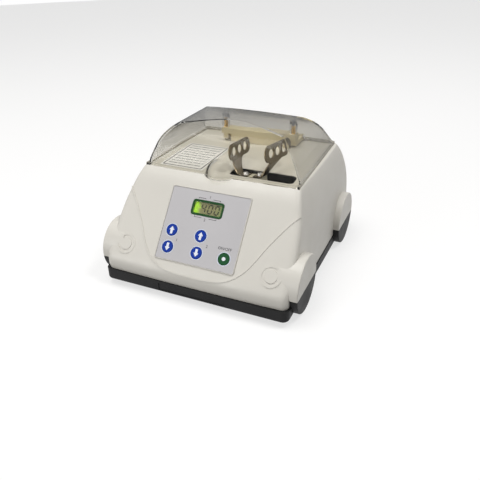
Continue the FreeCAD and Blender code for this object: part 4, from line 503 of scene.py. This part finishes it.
def band(mesh, inner, outer, place, low, high):
    """A closed band between two outlines with the same number of points."""
    rings = [[mesh.verts.new(place(x, y, z)) for x, y in line] for line, z in
             ((inner, low), (inner, high), (outer, high), (outer, low))]
    for ring, following in zip(rings, rings[1:] + rings[:1]):
        for k in range(len(ring)):
            after = (k + 1) % len(ring)
            mesh.faces.new((ring[k], ring[after], following[after], following[k]))


def circle(x, y, radius, count=48):
    return [(x + radius * cos(2 * pi * k / count), y + radius * sin(2 * pi * k / count))
            for k in range(count)]


def rounded_outline(half_width, half_length, radius, steps=6):
    points = []
    for quarter, (sx, sy) in enumerate(((1, 1), (-1, 1), (-1, -1), (1, -1))):
        for k in range(steps + 1):
            angle = (quarter + k / steps) * pi / 2
            points.append((sx * (half_width - radius) + radius * cos(angle),
                           sy * (half_length - radius) + radius * sin(angle)))
    return points


# Printed marks on the keys

def panel_place(joint):
    """A key's place on the panel, across and up, in mm."""
    offset = (Vector(joint["pos_m"]) - PANEL_ORIGIN) / MM
    return offset.dot(PANEL_ACROSS), offset.dot(PANEL_UP)


def arrow_outline(x, up, way):
    h, w, neck, s = ARROW_HALF_HEIGHT, ARROW_HEAD_HALF_WIDTH, ARROW_HEAD_HEIGHT, ARROW_SHAFT_HALF_WIDTH
    shape = [(0, h), (-w, h - neck), (-s, h - neck), (-s, -h), (s, -h), (s, h - neck), (w, h - neck)]
    return [(x + a, up + way * b) for a, b in shape]


def key_marks():
    for name, joint in joints.items():
        if not name.startswith("key_"):
            continue
        key = joint["child"]
        x, up = panel_place(joint)
        mark = bmesh.new()
        if key == "key_start_stop":
            prism(mark, circle(x, up, START_DOT_R, 32), on_panel, KEY_TOP, KEY_TOP + PRINT_THICKNESS)
        else:
            way = 1 if key.endswith("up") else -1
            prism(mark, arrow_outline(x, up, way), on_panel, KEY_TOP, KEY_TOP + PRINT_THICKNESS)
        piece = object_from(key + "_mark", mark, INK_WHITE)
        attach(piece, key)
        ring = bmesh.new()
        band(ring, circle(x, up, KEY_RING_INNER_R), circle(x, up, KEY_RING_OUTER_R), on_panel,
             0, PRINT_THICKNESS)
        piece = object_from(key + "_ring", ring, INK_RING)
        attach(piece, "housing")


# Seven-segment digits on the display

SEGMENTS_OF = {"4": "bcfg", "0": "abcdef"}


def segment_outlines():
    """Each bar of a digit, as an outline round the digit's centre."""
    w, h, t, g = DIGIT_WIDTH / 2, DIGIT_HEIGHT / 2, DIGIT_STROKE, DIGIT_GAP
    level = [(-w + g, 0), (-w + g + t / 2, t / 2), (w - g - t / 2, t / 2),
             (w - g, 0), (w - g - t / 2, -t / 2), (-w + g + t / 2, -t / 2)]
    upright = [(0, g), (t / 2, g + t / 2), (t / 2, h - g - t / 2),
               (0, h - g), (-t / 2, h - g - t / 2), (-t / 2, g + t / 2)]

    def moved(line, dx, dy):
        return [(x + dx, y + dy) for x, y in line]

    return {
        "a": moved(level, 0, h), "g": level, "d": moved(level, 0, -h),
        "f": moved(upright, -w, 0), "b": moved(upright, w, 0),
        "e": moved(upright, -w, -h), "c": moved(upright, w, -h),
    }


def display_digits():
    bars = segment_outlines()
    mesh = bmesh.new()
    for place, digit in enumerate("400"):
        centre = FIRST_DIGIT_X + place * DIGIT_PITCH
        for bar in SEGMENTS_OF[digit]:
            outline = [(centre + x + y * DIGIT_SLANT, DISPLAY_UP + y) for x, y in bars[bar]]
            prism(mesh, outline, on_panel, DIGIT_OUT, DIGIT_OUT + DIGIT_THICKNESS)
    piece = object_from("display_digits", mesh, DIGIT_INK)
    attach(piece, "housing")


# Black sheet of painted shade inside the fork's slot, and the fine edge round the control overlay

# Painted shade: a black band round the inside of the slot stands in for the dark of the unlit housing beneath it
def slot_shade_sheet():
    mesh = bmesh.new()

    def place(x, y, z):
        return Vector((SLOT_X + x, SLOT_Y + y, z)) * MM

    outer = rounded_outline(SLOT_HALF_LENGTH, SLOT_HALF_WIDTH, SLOT_CORNER_R)
    inner = rounded_outline(SLOT_HALF_LENGTH - SHADE_SHEET_THICKNESS, SLOT_HALF_WIDTH - SHADE_SHEET_THICKNESS,
                            SLOT_CORNER_R - SHADE_SHEET_THICKNESS)
    band(mesh, inner, outer, place, SHADE_SHEET_LOW, SHADE_SHEET_HIGH)
    piece = object_from("slot_shade_sheet", mesh, FINISHES["black_plastic"])
    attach(piece, "housing")


def panel_rim():
    """The section of a thin bead, swept round the overlay's rounded rectangle."""
    mesh = bmesh.new()
    rings = []
    for away, out in PANEL_RIM_SECTION:
        outline = rounded_outline(PANEL_HALF_WIDTH + away, PANEL_HALF_LENGTH + away,
                                  PANEL_CORNER_R + away)
        rings.append([mesh.verts.new(on_panel(x, up, out)) for x, up in outline])
    for ring, following in zip(rings, rings[1:] + rings[:1]):
        for k in range(len(ring)):
            after = (k + 1) % len(ring)
            mesh.faces.new((ring[k], ring[after], following[after], following[k]))
    piece = object_from("panel_rim", mesh, FINISHES["white_housing"], smooth=True)
    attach(piece, "housing")


# Plain lettering and corner ticks beside the keys and the display

def lettering(name, rows, place, height, material, rides):
    """Short words as thin raised print; each row gives the text and its centre."""
    mesh = bmesh.new()
    for text, x, y in rows:
        curve = bpy.data.curves.new(name, "FONT")
        curve.body = text
        curve.size = WORD_HEIGHT * FONT_SIZE_PER_CAP
        curve.align_x = "CENTER"
        curve.align_y = "CENTER"
        curve.resolution_u = 3
        holder = bpy.data.objects.new(name + "_text", curve)
        flat = bpy.data.meshes.new_from_object(holder)
        bpy.data.objects.remove(holder)
        bpy.data.curves.remove(curve)
        part = bmesh.new()
        part.from_mesh(flat)
        bpy.data.meshes.remove(flat)
        grown = bmesh.ops.extrude_face_region(part, geom=part.faces[:])
        for vert in (item for item in grown["geom"] if isinstance(item, bmesh.types.BMVert)):
            vert.co.z = height
        for vert in part.verts:
            vert.co = place(x + vert.co.x, y + vert.co.y, vert.co.z)
        held = bpy.data.meshes.new(name)
        part.to_mesh(held)
        part.free()
        mesh.from_mesh(held)
        bpy.data.meshes.remove(held)
    piece = object_from(name, mesh, material)
    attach(piece, rides)


def panel_lettering():
    rows = [("1", *KEY_WORD_PLACES[0]), ("2", *KEY_WORD_PLACES[1]), ("ON/OFF", *START_WORD_PLACE),
            ("1", 0, DISPLAY_UP + DISPLAY_WORD), ("2", 0, DISPLAY_UP - DISPLAY_WORD)]
    lettering("panel_words", rows, on_panel, PRINT_THICKNESS, INK_DARK, "housing")
    ticks = bmesh.new()
    for up, way in ((DISPLAY_UP + DISPLAY_TICK, 1), (DISPLAY_UP - DISPLAY_TICK, -1)):
        for x0, x1, y0, y1 in ((-TICK_REACH, -TICK_INNER, 0, TICK_WIDTH),
                               (TICK_INNER, TICK_REACH, 0, TICK_WIDTH),
                               (-TICK_REACH, TICK_WIDTH - TICK_REACH, -TICK_HOOK, 0),
                               (TICK_REACH - TICK_WIDTH, TICK_REACH, -TICK_HOOK, 0)):
            corners = [(x0, up + way * y0), (x1, up + way * y0),
                       (x1, up + way * y1), (x0, up + way * y1)]
            prism(ticks, corners, on_panel, 0, PRINT_THICKNESS)
    piece = object_from("panel_ticks", ticks, INK_DARK)
    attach(piece, "housing")


# Deck label's border and ruled lines

def label_lines():
    low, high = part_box("deck_label")
    centre = (low + high) / 2
    half_width = (high.x - low.x) / 2 / MM
    half_length = (high.y - low.y) / 2 / MM

    def place(x, y, z):
        return Vector((centre.x + x * MM, centre.y + y * MM, high.z + z * MM))

    mesh = bmesh.new()
    border = LABEL_BORDER_INSET
    outer = rounded_outline(half_width - border, half_length - border, LABEL_BORDER_OUTER_R)
    border += LABEL_RULE_WIDTH
    inner = rounded_outline(half_width - border, half_length - border, LABEL_BORDER_INNER_R)
    band(mesh, inner, outer, place, 0, PRINT_THICKNESS)
    pitch = 2 * (half_length - LABEL_ROWS_INSET) / (LABEL_RULE_COUNT - 1)
    for k in range(LABEL_RULE_COUNT):
        y = half_length - LABEL_ROWS_INSET - k * pitch
        reach = half_width - LABEL_SIDES_INSET
        t = LABEL_RULE_WIDTH / 2
        x = -reach
        step = k
        while x < reach - LABEL_DASH_MIN:
            end = min(x + LABEL_DASHES[step % len(LABEL_DASHES)], reach)
            prism(mesh, [(x, y - t), (end, y - t), (end, y + t), (x, y + t)], place, 0, PRINT_THICKNESS)
            x = end + LABEL_DASH_GAP
            step += 1
    piece = object_from("label_lines", mesh, INK_GREY)
    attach(piece, "housing")


bpy.context.scene.view_settings.view_transform = "Standard"
add_camera()
add_world()
for lamp in LAMPS:
    add_lamp(*lamp)
add_floor()
dress_nodes()
key_marks()
display_digits()
slot_shade_sheet()
panel_rim()
panel_lettering()
label_lines()
